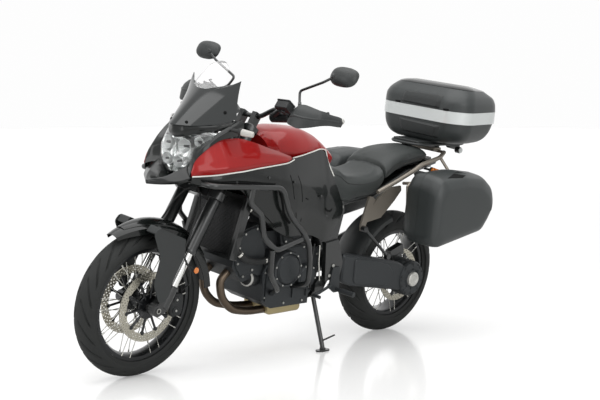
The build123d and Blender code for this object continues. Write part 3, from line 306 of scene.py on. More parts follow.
def thick(outer, wall):
    """A sheet with its copy moved back along the normals; the two are sewn into one closed band of quads."""
    along, across = np.gradient(outer, axis=0), np.gradient(outer, axis=1)
    inner = outer - unit(np.cross(along, across)) * wall
    return grid(np.concatenate([outer, inner[:, ::-1]], axis=1))


def soft_plate(outline, bend, low, high, edge=1.5, across=1):
    """A plate whose outline has its corners softened over bend."""
    return plate(rounded(outline, bend, closed=True), low, high, edge, across)


def bent_tube(path, bend, radius, sides=14):
    """A tube along a path whose corners are softened over bend."""
    return tube(rounded(path, bend), radius, sides)


def bolts(places, axis, radius=4.0, height=3.0):
    """Six-sided bolt heads that stand on their places along one axis."""
    return joined([disc(place, axis, radius, 0, height, edge=0.8, steps=6) for place in places])

# %% [markdown]
# ## Materials
#
# A finish is mostly two things: how rough its top is and what lies under it. Paint has a clear coat over
# colour, moulded plastic scatters under a fine grain, and metal has colour in its reflection. Each
# material starts from what the real surface is, and noise at a real size breaks up its roughness.


# %% Colour and node helpers
def linear(hex_colour, alpha=1.0):
    """An sRGB hex colour as linear light: the low part is a straight line, the rest a power of 2.4."""
    parts = np.array([int(hex_colour[i : i + 2], 16) / 255 for i in (1, 3, 5)])
    light = np.where(parts <= 0.04045, parts / 12.92, ((parts + 0.055) / 1.055) ** 2.4)
    return (*light, alpha)


def add_node(tree, kind, inputs=None, **settings):
    """One node with its settings; inputs maps a socket to a value or to the output that feeds it."""
    made = tree.nodes.new(kind)
    for name, value in settings.items():
        setattr(made, name, value)
    for socket, value in (inputs or {}).items():
        if isinstance(value, bpy.types.NodeSocket):
            tree.links.new(value, made.inputs[socket])
        else:
            made.inputs[socket].default_value = value
    return made


def finish_of(name, colour, roughness, metallic=0.0, grain_mm=0.0, grain=0.0, vary=0.06, **sockets):
    """A material: one colour with slight mottling, and a bump of grain_mm wide grains where grain is set."""
    made = bpy.data.materials.new(name)
    made.use_nodes = True
    tree = made.node_tree
    shader = tree.nodes["Principled BSDF"]
    place = add_node(tree, "ShaderNodeTexCoord").outputs["Object"]
    cloud = add_node(tree, "ShaderNodeTexNoise", {"Vector": place, "Scale": 9.0, "Detail": 3.0})
    spread = add_node(
        tree, "ShaderNodeMapRange", {"Value": cloud.outputs["Fac"], "To Min": 1 - vary, "To Max": 1 + vary}
    )
    tint = add_node(
        tree, "ShaderNodeVectorMath", {0: linear(colour)[:3], "Scale": spread.outputs["Result"]},
        operation="SCALE",
    )
    tree.links.new(tint.outputs["Vector"], shader.inputs["Base Color"])
    haze = add_node(
        tree, "ShaderNodeMapRange",
        {"Value": cloud.outputs["Fac"], "To Min": roughness * 0.85, "To Max": roughness * 1.15},
    )
    tree.links.new(haze.outputs["Result"], shader.inputs["Roughness"])
    shader.inputs["Metallic"].default_value = metallic
    for socket, value in sockets.items():
        shader.inputs[socket.replace("_", " ")].default_value = value
    if grain:
        grains = add_node(
            tree, "ShaderNodeTexNoise", {"Vector": place, "Scale": 1000 / grain_mm, "Detail": 2.0}
        )
        bump = add_node(
            tree, "ShaderNodeBump",
            {"Height": grains.outputs["Fac"], "Strength": grain, "Distance": grain_mm / 1000},
        )
        tree.links.new(bump.outputs["Normal"], shader.inputs["Normal"])
    return made


# %% The finishes
# Red paint with a little metal in it, under a clear coat.
pearl_red = finish_of(
    "pearl_red_paint", "#94100F", 0.34, 0.12, Coat_Weight=0.45, Coat_Roughness=0.05, Specular_IOR_Level=0.15
)
# Black bodywork: moulded, painted and clear coated.
gloss_black = finish_of(
    "gloss_black_paint", "#111413", 0.24, Coat_Weight=0.45, Coat_Roughness=0.05, Specular_IOR_Level=0.2
)
# Moulded black plastic with a leather-like grain, 1 to 2 mm wide.
grained_black = finish_of("grained_black_moulding", "#242727", 0.46, grain_mm=1.4, grain=0.18)
case_black = finish_of("grained_black_case", "#2E3232", 0.40, grain_mm=2.2, grain=0.16)
# Powder coat on frame, crash bars and stand: thick, faintly pebbled, half gloss.
powder_black = finish_of("black_powder_coat", "#191B1B", 0.30, grain_mm=2.5, grain=0.10, Coat_Weight=0.4)
# Cast aluminium engine, painted dark and baked: dull with a sandy skin.
engine_paint = finish_of("dark_cast_engine_paint", "#303335", 0.50, 0.35, grain_mm=1.8, grain=0.25)
engine_black = finish_of("black_cast_engine_paint", "#1D1F20", 0.42, 0.2, grain_mm=1.8, grain=0.2)
cast_grey = finish_of("bare_cast_aluminium", "#C6C5C0", 0.42, 0.5, grain_mm=1.5, grain=0.2)
rim_black = finish_of("black_anodised_rim", "#1E2022", 0.28, 0.5, Coat_Weight=0.3)
polished_steel = finish_of("polished_stainless_spoke", "#C9C8C2", 0.22, 1.0)
ground_steel = finish_of("ground_disc_steel", "#B7B3A6", 0.34, 1.0, vary=0.1)
hard_chrome = finish_of("hard_chrome_stanchion", "#E4E4E2", 0.07, 1.0, vary=0.02)
bolt_steel = finish_of("zinc_bolt_steel", "#A8A8A4", 0.35, 1.0)
hot_steel = finish_of("heat_tinted_header_steel", "#62564A", 0.36, 0.9, vary=0.25)
pale_shield = finish_of("pale_heat_shield", "#B5A67E", 0.45, 0.6, vary=0.15)
silver_paint = finish_of("silver_painted_band", "#D2D6D5", 0.32, 0.2, Coat_Weight=0.6)
champagne = finish_of("champagne_cast_aluminium", "#8F887E", 0.40, 0.55, grain_mm=1.2, grain=0.1)
tyre_rubber = finish_of("tyre_rubber", "#171918", 0.72, grain_mm=2.0, grain=0.15, vary=0.12)
soft_rubber = finish_of("moulded_soft_rubber", "#1B1C1C", 0.65, grain_mm=1.2, grain=0.2)
seat_vinyl = finish_of("grained_seat_vinyl", "#2A2E2D", 0.52, grain_mm=1.6, grain=0.3)
amber_lens = finish_of("amber_reflector", "#E27A0E", 0.12, Coat_Weight=1.0)
red_lens = finish_of("red_tail_lens", "#A01414", 0.10, Coat_Weight=1.0)
mirror_glass = finish_of("mirror_glass", "#E8E8E8", 0.02, 1.0, vary=0.0)
bright_reflector = finish_of("vacuum_plated_reflector", "#C9CCCB", 0.16, 1.0, vary=0.1)
# White: a line along each red panel's lower edge, and a painted highlight along the tank's seam with the cowl
# and down its rear.
white_line_and_highlight = finish_of("white_line_and_painted_highlight", "#E6E6E0", 0.30)
clear_lens = finish_of("clear_polycarbonate_lens", "#FFFFFF", 0.03, vary=0.0, IOR=1.45,
                       Transmission_Weight=1.0)
# Thick smoked sheet: nearly opaque at its foot, and glossy.
smoke_lens = finish_of("smoked_screen", "#242727", 0.08, vary=0.0, Specular_IOR_Level=0.6)
# The sheet above it is clear, and only its edge and a faint haze show.
clear_sheet = finish_of("clear_screen", "#FFFFFF", 0.03, vary=0.0, IOR=1.1, Transmission_Weight=0.82)
# A front turn signal has a colourless lens, which reads as pale grey.
pale_lens = finish_of("colourless_signal_lens", "#D6D4CE", 0.08, vary=0.03, Transmission_Weight=0.25)
# Near-black matt: the real black screws and catches, and painted shade standing in for the cowl's gaps and
# the cases' grip hollows.
near_black_and_shade = finish_of("near_black_and_painted_shade", "#090A0A", 0.7, Specular_IOR_Level=0.15)

# %% [markdown]
# ## The frame's own nodes
#
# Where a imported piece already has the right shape, it keeps its mesh and only gets a finish. The table
# below gives each one the finish of the real surface.

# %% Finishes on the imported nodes
dress = {
    pearl_red: ["fuel_tank", "red_side_panels"],
    gloss_black: ["side_cowls", "front_cowl", "tail_cowl"],
    grained_black: [
        "front_fender", "rear_hugger", "hand_guards", "mirrors", "bar_controls", "dash", "plate_hanger",
        "rack_plate",
    ],
    case_black: ["side_case_shells", "left_case_lid", "right_case_lid", "top_case_base", "top_case_lid"],
    silver_paint: ["top_case_band"],
    powder_black: [
        "main_frame", "subframe", "crash_bars", "side_stand", "torque_rod", "yokes", "handlebar",
        "silencer", "fork_tubes", "fork_lowers", "rear_shock", "front_calipers", "rear_caliper",
    ],
    engine_paint: ["crankcase", "cylinders", "engine_covers", "swingarm", "final_drive", "rider_pegs"],
    rim_black: ["front_wheel_rim", "rear_wheel_rim"],
    ground_steel: ["front_discs", "rear_disc"],
    bolt_steel: ["front_axle"],
    hot_steel: ["exhaust_headers"],
    champagne: ["peg_brackets", "grab_rails", "case_carriers"],
    tyre_rubber: ["front_tyre", "rear_tyre"],
    soft_rubber: ["grips", "brake_hoses", "radiator"],
    seat_vinyl: ["rider_seat", "pillion_seat"],
    clear_lens: ["headlight"],
    smoke_lens: ["windscreen"],
    red_lens: ["tail_lamp"],
    amber_lens: ["indicators"],
}
for material, names in dress.items():
    for name in names:
        nodes[name].data.materials.clear()
        nodes[name].data.materials.append(material)

# %% [markdown]
# ## Wheels
#
# A spoked wheel is a rim, a hub with two flanges, crossed spokes and a tyre. The tyre is a turned
# profile: a round crown and sidewalls that draw in to the beads. Its curved grooves press into the crown
# by a depth that depends on two numbers, the turn round the wheel and the way across, so the tread is real
# geometry and one array sum. A texture would give no dark edge in the silhouette.


# %% Tyre, rim and spokes
def groove_depth(turn, across, count, depth, width, sweep):
    """Depth of curved grooves: full where the turn is within half a width of a line that sweeps back."""
    side_shift = np.where(across > 0, 0.5, 0.0)
    lead = (turn * count / (2 * np.pi) + sweep * np.abs(across) ** 1.3 + side_shift) % 1 - 0.5
    near = np.clip(1.6 - np.abs(lead) / width, 0, 1)
    band = np.clip((np.abs(across) - 0.08) * 14, 0, 1) * np.clip((0.9 - np.abs(across)) * 9, 0, 1)
    return depth * near * band


def tyre(centre, rim_r, rim_half, tyre_r, half, count, around=800, across=56):
    """A tyre: a grooved crown arc, sidewalls to the beads, and a plain inside that closes the ring."""
    rise = 0.8 * half
    crown = (half**2 + rise**2) / (2 * rise)
    reach = math.asin(half / crown)
    way = np.linspace(-1, 1, across)
    turn = full_turn(around)[:, None]
    sunk = groove_depth(turn, way[None, :], count, depth=5.5, width=0.085, sweep=1.7)
    radius = tyre_r - crown + (crown - sunk) * np.cos(way * reach)
    place = (crown - sunk) * np.sin(way * reach)
    wall = spline([
        (tyre_r - rise, half), (tyre_r - rise - 16, half + 0.5), (rim_r + 22, half - 7),
        (rim_r + 5, rim_half + 7), (rim_r + 3, rim_half + 3),
    ], 12)
    inner = np.array([(rim_r + 3, rim_half - 8), (rim_r + 12, rim_half - 12)])
    side = np.concatenate([wall[1:], inner])
    side_r, side_y = (np.broadcast_to(column, (around, len(side))) for column in side.T)
    full_r = np.concatenate([side_r[:, ::-1], radius, side_r], axis=1)
    full_y = np.concatenate([-side_y[:, ::-1], place, side_y], axis=1)
    return grid(round_the_hub(centre, turn, full_r, full_y), wrap_rows=True, caps=False)


def rim(centre, rim_r, rim_half):
    """A channel rim as a turned profile: rolled lips at both edges, bead seats and a drop centre."""
    half_profile = [
        (rim_r + 2, rim_half - 1.5), (rim_r + 2, rim_half + 0.5), (rim_r - 1, rim_half + 1),
        (rim_r - 15, rim_half - 1), (rim_r - 19, rim_half - 8), (rim_r - 24, rim_half * 0.45),
        (rim_r - 25, 0),
    ]
    outer = [(rim_r - 6, rim_half - 4), (rim_r - 8, rim_half - 14), (rim_r - 19, rim_half - 22)]
    under = half_profile + [(r, -y) for r, y in half_profile[-2::-1]]
    over = [(r, -y) for r, y in outer] + outer[::-1]
    return turned(under + over, centre, steps=144)


def hub_body(centre, radius, flange_r, flange_y, low, high, bore):
    """A hub: a waisted barrel between two spoke flanges, bored through."""
    return turned(
        [
            (bore, low), (radius, low), (radius, -flange_y - 7), (flange_r, -flange_y - 4),
            (flange_r, -flange_y + 3), (radius * 0.8, -flange_y + 10), (radius * 0.72, 0),
            (radius * 0.8, flange_y - 10), (flange_r, flange_y - 3), (flange_r, flange_y + 4),
            (radius, flange_y + 7), (radius, high), (bore, high),
        ],
        centre, steps=64,
    )


def spoke_set(centre, count, rim_r, rim_half, flange_r, flange_y, cross_deg):
    """Crossed spokes with a nipple each: alternately left and right, and leaning alternately both ways."""
    wire_r, nipple_r, nipple_share = 1.9, 3.4, 0.08
    wires = []
    for i in range(count):
        side = 1 if i % 2 else -1
        lean = 1 if (i // 2) % 2 else -1
        turn = 2 * math.pi * i / count
        reach = turn + lean * math.radians(cross_deg)
        inner = round_the_hub(centre, turn, flange_r, side * flange_y)
        outer = round_the_hub(centre, reach, rim_r - 12, side * (rim_half - 3))
        wires.append(bar(inner, outer, wire_r, sides=8))
        wires.append(bar(outer + (inner - outer) * nipple_share, outer, nipple_r, sides=8))
    return joined(wires)


# Each wheel: its rim's radius and half width, its tyre, its hub and its spokes.
wheels = [
    ("front", front_hub, fork, (250, 34), (328.8, 55, 22), (34, 44, 36, -50, 50, 12.1), (40, 36, 24)),
    ("rear", rear_hub, bike, (226, 55), (rear_wheel_r, 75, 20), (50, 64, 41, -52, 62, 25), (60, 41, 26)),
]
for end, hub, ruler, rim_size, tyre_size, hub_size, spoke_size in wheels:
    wheel = end + "_wheel"
    piece(end + "_tyre_tread", tyre(hub, *rim_size, *tyre_size), ruler, tyre_rubber, wheel,
          [end + "_tyre"], sharp=28)
    piece(end + "_rim_and_hub", joined([rim(hub, *rim_size), hub_body(hub, *hub_size)]), ruler, rim_black,
          wheel, [wheel + "_rim"])
    piece(end + "_spokes", spoke_set(hub, 36, *rim_size, *spoke_size), ruler, polished_steel, wheel)
print("wheels made")

# %% [markdown]
# ## Brake discs
#
# A drilled disc could be cut by booleans, hole by hole, but that is slow and leaves poor faces. Here the
# ring is a mosaic of cells. Each cell runs from its four-sided border to one round hole, so a row of
# identical small grids makes the whole drilled ring at once.


# %% Drilled rings
def drilled_ring(centre, inner_r, outer_r, low, high, rows, count, hole_r, corners=16):
    """Rings of cells: each maps a square border and a round hole, in (turn, radius), to the disc's plane."""
    turn = full_turn(corners) + np.pi / corners
    circle = np.stack([np.cos(turn), np.sin(turn)], -1)
    square = circle / np.abs(circle).max(-1, keepdims=True)
    surfaces = []
    height = (outer_r - inner_r) / rows
    for r in range(rows):
        middle_r = inner_r + (r + 0.5) * height
        cell = np.arange(count)[:, None]
        middle = 2 * np.pi * (cell + 0.5 * (r % 2)) / count
        edge_turn = middle + square[:, 0] * np.pi / count
        edge_r = middle_r + square[:, 1] * height / 2
        hole_turn = middle + circle[:, 0] * hole_r / middle_r
        hole_edge_r = middle_r + circle[:, 1] * hole_r
        for turns, radii, y in ((edge_turn, edge_r, low), (hole_turn, hole_edge_r, low),
                                (hole_turn, hole_edge_r, high), (edge_turn, edge_r, high)):
            surfaces.append(round_the_hub(centre, turns, radii, y))
    layers = np.stack(surfaces).reshape(rows, 4, count, corners, 3).transpose(0, 2, 1, 3, 4)
    cells = layers.reshape(-1, 4, corners, 3)
    one = quads(4, corners)
    faces = (one[None] + np.arange(len(cells))[:, None, None] * 4 * corners).reshape(-1, 4)
    return cells.reshape(-1, 3), faces[:, ::-1].tolist()


def edge_band(centre, radius, low, high, steps=144):
    """The thin cylinder that closes a drilled ring at its outer or inner edge."""
    return grid(round_the_hub(centre, full_turn(steps), radius, np.array([low, high])[:, None]), caps=False)


def brake_ring(centre, outer_r, inner_r, middle_y, rows, count):
    """A drilled steel ring, 5 mm thick, closed at both edges."""
    low, high = middle_y - 2.5, middle_y + 2.5
    return joined([
        drilled_ring(centre, inner_r, outer_r, low, high, rows, count, hole_r=3.6),
        edge_band(centre, outer_r, low, high), edge_band(centre, inner_r, low, high),
    ])


def disc_carrier(centre, hub_r, ring_r, middle_y, bore, arms=10):
    """The black carrier: a bored plate with arms out to the ring, and a round bobbin at each arm's end."""
    side = 1 if middle_y > 0 else -1
    near, far = middle_y - 3 * side, middle_y + 3 * side
    section = [(bore, near), (hub_r + 15, near), (hub_r + 17, middle_y), (hub_r + 15, far), (bore, far)]
    plates = [turned(section, centre, steps=60)]
    for turn in 2 * math.pi * np.arange(arms) / arms:
        inner, outer, bobbin = (round_the_hub(centre, turn, r, middle_y) for r in (hub_r, ring_r, ring_r + 2))
        plates += [bar(inner, outer, 5.5), disc(bobbin, sideways, 9, -4.5, 4.5, steps=20)]
    return joined(plates)


front_disc_y, rear_disc_y = 62.4, 92
front_ring = brake_ring(front_hub, 155, 119, front_disc_y, 4, 40)
front_carrier = disc_carrier(front_hub, 38, 116, front_disc_y, 15)
piece("front_drilled_discs", mirrored(front_ring), fork, ground_steel, "front_wheel", ["front_discs"])
piece("front_disc_carriers", mirrored(front_carrier), fork, rim_black, "front_wheel")
piece("rear_drilled_disc", brake_ring(rear_hub, 138, 108, rear_disc_y, 3, 36), bike, ground_steel,
      "rear_wheel", ["rear_disc"])
piece("rear_disc_carrier", disc_carrier(rear_hub, 44, 106, rear_disc_y, 26), bike, rim_black, "rear_wheel")
print("discs made")

# %% [markdown]
# ## Bodywork
#
# Moulded panels are thin skins with soft edges. Each is a table of stations along the motorcycle, with
# the corners of its section at each one. Corners are softened first, and the rows are then joined by a
# curve that never overshoots. That keeps the panel lines where they were put.


# %% Skins and bodies from tables
def through(values, count):
    """A smooth curve that never overshoots: each slope is the harmonic mean of its two spans', or zero."""
    values = np.asarray(values, float)
    size = len(values)
    steps = np.linalg.norm(np.diff(values, axis=0).reshape(size - 1, -1), axis=1)
    along = np.concatenate([[0], np.cumsum(np.maximum(steps, 1e-6))])
    gap = np.diff(along).reshape(-1, *[1] * (values.ndim - 1))
    slope = np.diff(values, axis=0) / gap
    before, after = slope[:-1], slope[1:]
    same = before * after > 0
    mean = np.where(same, 2 * before * after / np.where(same, before + after, 1), 0)
    tangent = np.concatenate([slope[:1], mean, slope[-1:]])
    t = np.linspace(along[0], along[-1], count)
    k = np.clip(np.searchsorted(along, t, side="right") - 1, 0, size - 2)
    g = gap[k]
    f = ((t - along[k]) / np.diff(along)[k]).reshape(-1, *[1] * (values.ndim - 1))
    a, b, m, n = values[k], values[k + 1], tangent[k] * g, tangent[k + 1] * g
    leaving = (2 * f**3 - 3 * f**2 + 1) * a + (f**3 - 2 * f**2 + f) * m
    return leaving + (3 * f**2 - 2 * f**3) * b + (f**3 - f**2) * n


def stations(table):
    """Rows of (x, [(y, z), ...]) as full (x, y, z) points."""
    return np.array([[(x, y, z) for y, z in section] for x, section in table], float)


def soft_rows(rows, bend, closed=False):
    """Rows of corners, each made into a path with soft corners."""
    return np.array([rounded(corners, bend, 6, closed) for corners in rows])


def panel(table, bend, count):
    """A thin skin through a table of open sections, with corners softened over bend."""
    return thick(through(soft_rows(stations(table), bend), count), 3.0)


def both(half):
    """A closed outline from (y, z) points on the left side, listed from top to bottom."""
    return [*half, *[(-y, z) for y, z in reversed(half) if y]]


def body(table, bend, count):
    """A closed body through a table of half sections, with corners softened over bend."""
    sections = stations([(x, both(half)) for x, half in table])
    return grid(through(soft_rows(sections, bend, closed=True), count))


def crease_line(points, count=80):
    """A smooth path through (x, y, z) points."""
    return through(points, count)


def ribbon(path, width, rise):
    """A narrow flat strip along a path: its width lies across the path and its face looks to one side."""
    along = unit(np.gradient(path, axis=0))
    up = unit(np.cross(along, sideways))
    out = unit(np.cross(up, along)) * np.sign(np.dot(np.cross(up, along)[0], sideways))
    corners = [(-0.5, 0), (-0.5, 1), (0.5, 1), (0.5, 0)]
    return grid(np.stack([path + up * width * a + out * rise * b for a, b in corners], 1))


# %% Tank, red panels and cowls
tank = body([
    (1034, [(0, 1070), (60, 1064), (104, 1040), (122, 1022), (112, 1008)]),
    (985, [(0, 1094), (72, 1088), (130, 1052), (164, 998), (144, 962)]),
    (900, [(0, 1104), (84, 1096), (138, 1056), (174, 992), (150, 940)]),
    (800, [(0, 1098), (78, 1090), (128, 1050), (162, 994), (142, 870)]),
    (715, [(0, 1074), (68, 1066), (108, 1036), (140, 992), (124, 864)]),
    (645, [(0, 1038), (60, 1030), (94, 1008), (122, 962), (110, 862)]),
    (580, [(0, 990), (54, 984), (76, 970), (92, 954), (88, 936)]),
], 46, 60)
piece("tank_skin", tank, bike, pearl_red, "chassis", ["fuel_tank"])

red_rows = [
    (1497, [(165, 912), (168, 916), (167, 923), (163, 928)]),
    (1480, [(175, 915), (184, 930), (175, 957), (161, 975)]),
    (1447, [(192, 919), (200, 940), (188, 966), (166, 1008)]),
    (1400, [(212, 925), (220, 947), (203, 976), (169, 1042)]),
    (1346, [(231, 933), (239, 955), (219, 990), (168, 1068)]),
    (1262, [(236, 942), (243, 961), (224, 1002), (164, 1070)]),
    (1180, [(236, 952), (241, 970), (222, 1010), (166, 1056)]),
    (1080, [(230, 960), (233, 974), (218, 1003), (180, 1026)]),
    (1000, [(222, 967), (223, 975), (212, 991), (194, 1002)]),
    (958, [(208, 976), (207, 979), (204, 984), (200, 988)]),
]
piece("red_panels", mirrored(panel(red_rows, 7, 90)), bike, pearl_red, "chassis", ["red_side_panels"])

# A white line along the red panel's lower edge; the line along the tank's side and down its rear seam is a
# painted highlight.
stripe = crease_line([(1494, 169.5, 911.5), (1462, 186, 914.5), (1400, 214, 922), (1335, 234, 932),
                      (1262, 239, 939), (1180, 239, 949), (1080, 233, 957), (1000, 225, 964),
                      (945, 210, 976)])
tank_seam_highlight = crease_line([(948, 201, 982), (880, 190, 990), (800, 174, 1002), (735, 158, 1010),
                           (694, 148, 1004), (672, 148, 960), (650, 158, 910), (636, 168, 880)])
piece("panel_line_and_tank_highlight", mirrored(joined([ribbon(stripe, 5.5, 1.6), ribbon(tank_seam_highlight, 4.5, 3)])),
      bike, white_line_and_highlight, "chassis")

cowl_rows = [
    (1494, [(150, 876), (164, 884), (168, 900), (168, 912)]),
    (1440, [(176, 866), (194, 874), (200, 892), (196, 918)]),
    (1370, [(204, 864), (222, 872), (230, 898), (224, 928)]),
    (1280, [(216, 858), (232, 872), (240, 905), (236, 938)]),
    (1196, [(222, 800), (236, 850), (242, 905), (236, 949)]),
    (1110, [(220, 716), (240, 800), (244, 900), (230, 957)]),
    (1020, [(218, 652), (244, 760), (243, 880), (223, 964)]),
    (935, [(216, 622), (240, 740), (238, 870), (200, 980)]),
    (860, [(213, 620), (232, 740), (226, 850), (184, 994)]),
    (800, [(211, 616), (226, 730), (216, 830), (170, 1003)]),
    (735, [(207, 594), (218, 700), (206, 810), (154, 1008)]),
    (690, [(204, 575), (212, 680), (202, 790), (146, 999)]),
    (655, [(201, 596), (207, 690), (202, 770), (164, 905)]),
    (612, [(196, 650), (200, 700), (200, 740), (180, 820)]),
    (577, [(192, 702), (193, 714), (193, 728), (190, 746)]),
]
piece("cowl_skins", mirrored(panel(cowl_rows, 24, 150)), bike, gloss_black, "chassis", ["side_cowls"])
print("bodywork made")

# %% [markdown]
# ## Nose, lamp and screen
#
# The nose is a black beak below a big clear lamp. A lamp reads as real by what is behind its lens: a
# bright bowl, ribs and a bulb. So the lens is thin and clear, and the bowls are separate bright parts. The
# screen is a curved sheet, smoked nearly black at its foot and clear above, with a trimmed outline.

# %% Beak and cheeks
beak_table = [
    (1601, [(0, 873), (6, 872), (10, 864), (6, 856), (0, 854)]),
    (1575, [(0, 878), (38, 885), (54, 872), (46, 858), (0, 855)]),
    (1545, [(0, 878), (62, 899), (102, 878), (86, 864), (0, 858)]),
    (1515, [(0, 880), (77, 917), (134, 888), (120, 872), (0, 862)]),
    (1485, [(0, 884), (91, 936), (157, 904), (146, 884), (0, 868)]),
    (1455, [(0, 888), (104, 952), (166, 914), (152, 888), (0, 872)]),
    (1405, [(0, 896), (120, 962), (160, 920), (146, 894), (0, 880)]),
]
piece("beak", body(beak_table, 6, 40), bike, gloss_black, "chassis", ["front_cowl"])

# Each row goes from the lamp's edge, over the band's middle, to the front edge of the red panel.
cheek_rows = [
    [(1466, 88, 930), (1486, 128, 926), (1497, 159, 912)],
    [(1459, 102, 966), (1483, 136, 955), (1493, 160, 932)],
    [(1456, 114, 1005), (1478, 142, 990), (1482, 161, 968)],
    [(1424, 132, 1041), (1450, 154, 1027), (1454, 165, 1003)],
    [(1390, 152, 1068), (1413, 168, 1058), (1414, 170, 1036)],
    [(1366, 164, 1092), (1376, 178, 1084), (1360, 176, 1066)],
    [(1318, 177, 1124), (1322, 188, 1110), (1306, 178, 1078)],
    [(1250, 178, 1152), (1250, 190, 1134), (1240, 168, 1086)],
]
cheek = thick(through(soft_rows(cheek_rows, 9), 70), 3.0)
piece("lamp_cheeks", mirrored(cheek), bike, gloss_black, "chassis")


# %% Lamp
def full_width(rows):
    """Rows from the middle outwards, made whole with their mirror image."""
    rows = np.asarray(rows, float)
    return np.concatenate([rows[:, :0:-1] * [1, -1, 1], rows], axis=1)


lens_half = [
    [(1484, 0, 909), (1480, 16, 909), (1464, 31, 910)],
    [(1497, 0, 938), (1488, 48, 938), (1453, 84, 939)],
    [(1502, 0, 966), (1492, 60, 966), (1457, 100, 967)],
    [(1494, 0, 1005), (1486, 70, 1005), (1454, 112, 1006)],
    [(1474, 0, 1041), (1464, 84, 1041), (1422, 130, 1042)],
    [(1448, 0, 1068), (1438, 98, 1068), (1388, 150, 1069)],
    [(1418, 0, 1092), (1406, 108, 1092), (1364, 162, 1093)],
]
lens_rows = through(soft_rows(full_width(lens_half), 30), 44)
piece("lamp_lens", thick(lens_rows, 2.5), bike, clear_lens, "chassis", ["headlight"])

# The housing is the lens pushed back: deep in the middle and close to it at the rim, with stepped ribs.
way = np.linspace(-1, 1, lens_rows.shape[1])[None, :]
rise = np.linspace(-1, 1, lens_rows.shape[0])[:, None]
housing_depth, rib_step, rim_gap = 62, 2.2, 3
depth = housing_depth * (1 - way**6) * (1 - rise**8) + rim_gap
ribs = 5 * np.floor(3.5 * np.abs(way) + 0.5 * rise) % 2 * rib_step
housing_rows = lens_rows * [1, 0.985, 1] - np.stack([depth + ribs * (1 - way**6), 0 * depth, 0 * depth], -1)
piece("lamp_housing", thick(housing_rows, 3), bike, bright_reflector, "chassis")


def bowl(centre, axis, radius, depth, ribs):
    """A reflector: a parabola turned round its axis, open to the front, whose radius ripples in ribs."""
    axis = unit(axis)
    across = unit(np.cross(axis, [0, 0, 1]))
    upward = np.cross(across, axis)
    share = np.linspace(0.2, 1, 14)[:, None, None]
    turn = full_turn(72)[None, :, None]
    ripple = 1 + 0.04 * np.sign(np.sin(turn * ribs)) * (share > 0.4)
    ring = np.cos(turn) * across + np.sin(turn) * upward * 0.92
    outer = np.asarray(centre, float) + ring * radius * share * ripple + axis * depth * (share**2 - 1)
    return thick(outer.swapaxes(0, 1), 1.5)


lamp_bowls = joined([
    bowl((1462, 58, 1024), (1, 0.2, 0.1), 33, 34, 6),
    bowl((1428, 112, 1050), (1, 0.45, 0.2), 20, 24, 5),
    bowl((1476, 40, 956), (1, 0.15, -0.1), 27, 30, 5),
])
bulbs = joined([
    bar((1428, 58, 1021), (1462, 60, 1024), 7, 5), bar((1408, 104, 1046), (1430, 113, 1051), 6, 4),
    bar((1448, 38, 958), (1476, 41, 955), 6, 4),
])
piece("lamp_bowls", mirrored(lamp_bowls), bike, silver_paint, "chassis")
piece("lamp_bulbs", mirrored(bulbs), bike, engine_black, "chassis")

# %% Screen
# The cover under the screen: its chin hangs over the lamp, and a dark slot parts it from the screen.
cover_half = [
    [(1464, 0, 1054), (1458, 50, 1064), (1404, 112, 1090), (1376, 144, 1101), (1316, 179, 1124)],
    [(1480, 0, 1076), (1466, 50, 1082), (1412, 112, 1103), (1368, 152, 1113), (1308, 184, 1136)],
    [(1484, 0, 1104), (1464, 50, 1107), (1432, 88, 1112), (1350, 161, 1126), (1292, 184, 1144)],
]
cover_rows = through(soft_rows(full_width(cover_half), 16), 16)
piece("nose_cover", thick(cover_rows, 3), bike, gloss_black, "chassis")

# At its foot and its head: how far forwards its middle and its sides are, and its half width.
screen_foot = (1478, 1290, 184)
screen_head = (1284, 1246, 184)
screen_foot_z, screen_rise = 1126, 210


def screen_point(share_up, way):
    """A point of the screen: an arc in plan whose middle and sides lean back as it rises."""
    middle, side, half = (low + (high - low) * share_up for low, high in zip(screen_foot, screen_head))
    return np.stack([middle - (middle - side) * np.abs(way) ** 1.5, half * way * (1.06 - 0.06 * way**2),
                     screen_foot_z + screen_rise * share_up + 0 * way], -1)


def screen_sheet(low, high, half_low, half_high, lift, rows=40, columns=60):
    """A trimmed part of the screen: from low to high up it, with side edges that go between two widths."""
    up = np.linspace(0, 1, rows)[:, None]
    across = np.linspace(-1, 1, columns)[None, :]
    way = across * (half_low + (half_high - half_low) * up**0.9)
    share_up = low(np.abs(across)) + (high(np.abs(across)) - low(np.abs(across))) * up
    return screen_point(share_up, way) + [lift, 0, 0]


dark_top = 0.66
screen_low = screen_sheet(
    lambda a: -0.08 + 0.22 * a**3, lambda a: dark_top + 0.25 * a**2.6, 0.99, 0.86, 0
)
screen_high = screen_sheet(lambda a: dark_top + 0.06 * a**2, lambda a: 1.24 - 0.12 * a**2, 0.5, 0.34, -4)
piece("screen_dark", thick(screen_low, 3.2), bike, smoke_lens, "chassis", ["windscreen"])
piece("screen_clear", thick(screen_high, 2.6), bike, clear_sheet, "chassis")
screen_pins = [disc((1454, 52, 1124), (1, 0.35, 0.3), 8, -4, 5, 1.5, 18),
               disc((1327, 150, 1180), (1, 1.1, 0.3), 7, -4, 5, 1.5, 18)]
piece("screen_screws", mirrored(joined(screen_pins)), bike, near_black_and_shade, "chassis")
print("nose made")

# %% [markdown]
# ## Fork, fender and guards
#
# The fork is drawn in its own straight ruler. Its outer tubes are black and sit above bright stanchions,
# and the lowers below carry the axle. The front fender is a crowned channel with a pointed tip, drawn by
# its angle round the axle. Black guards cover the lower legs.


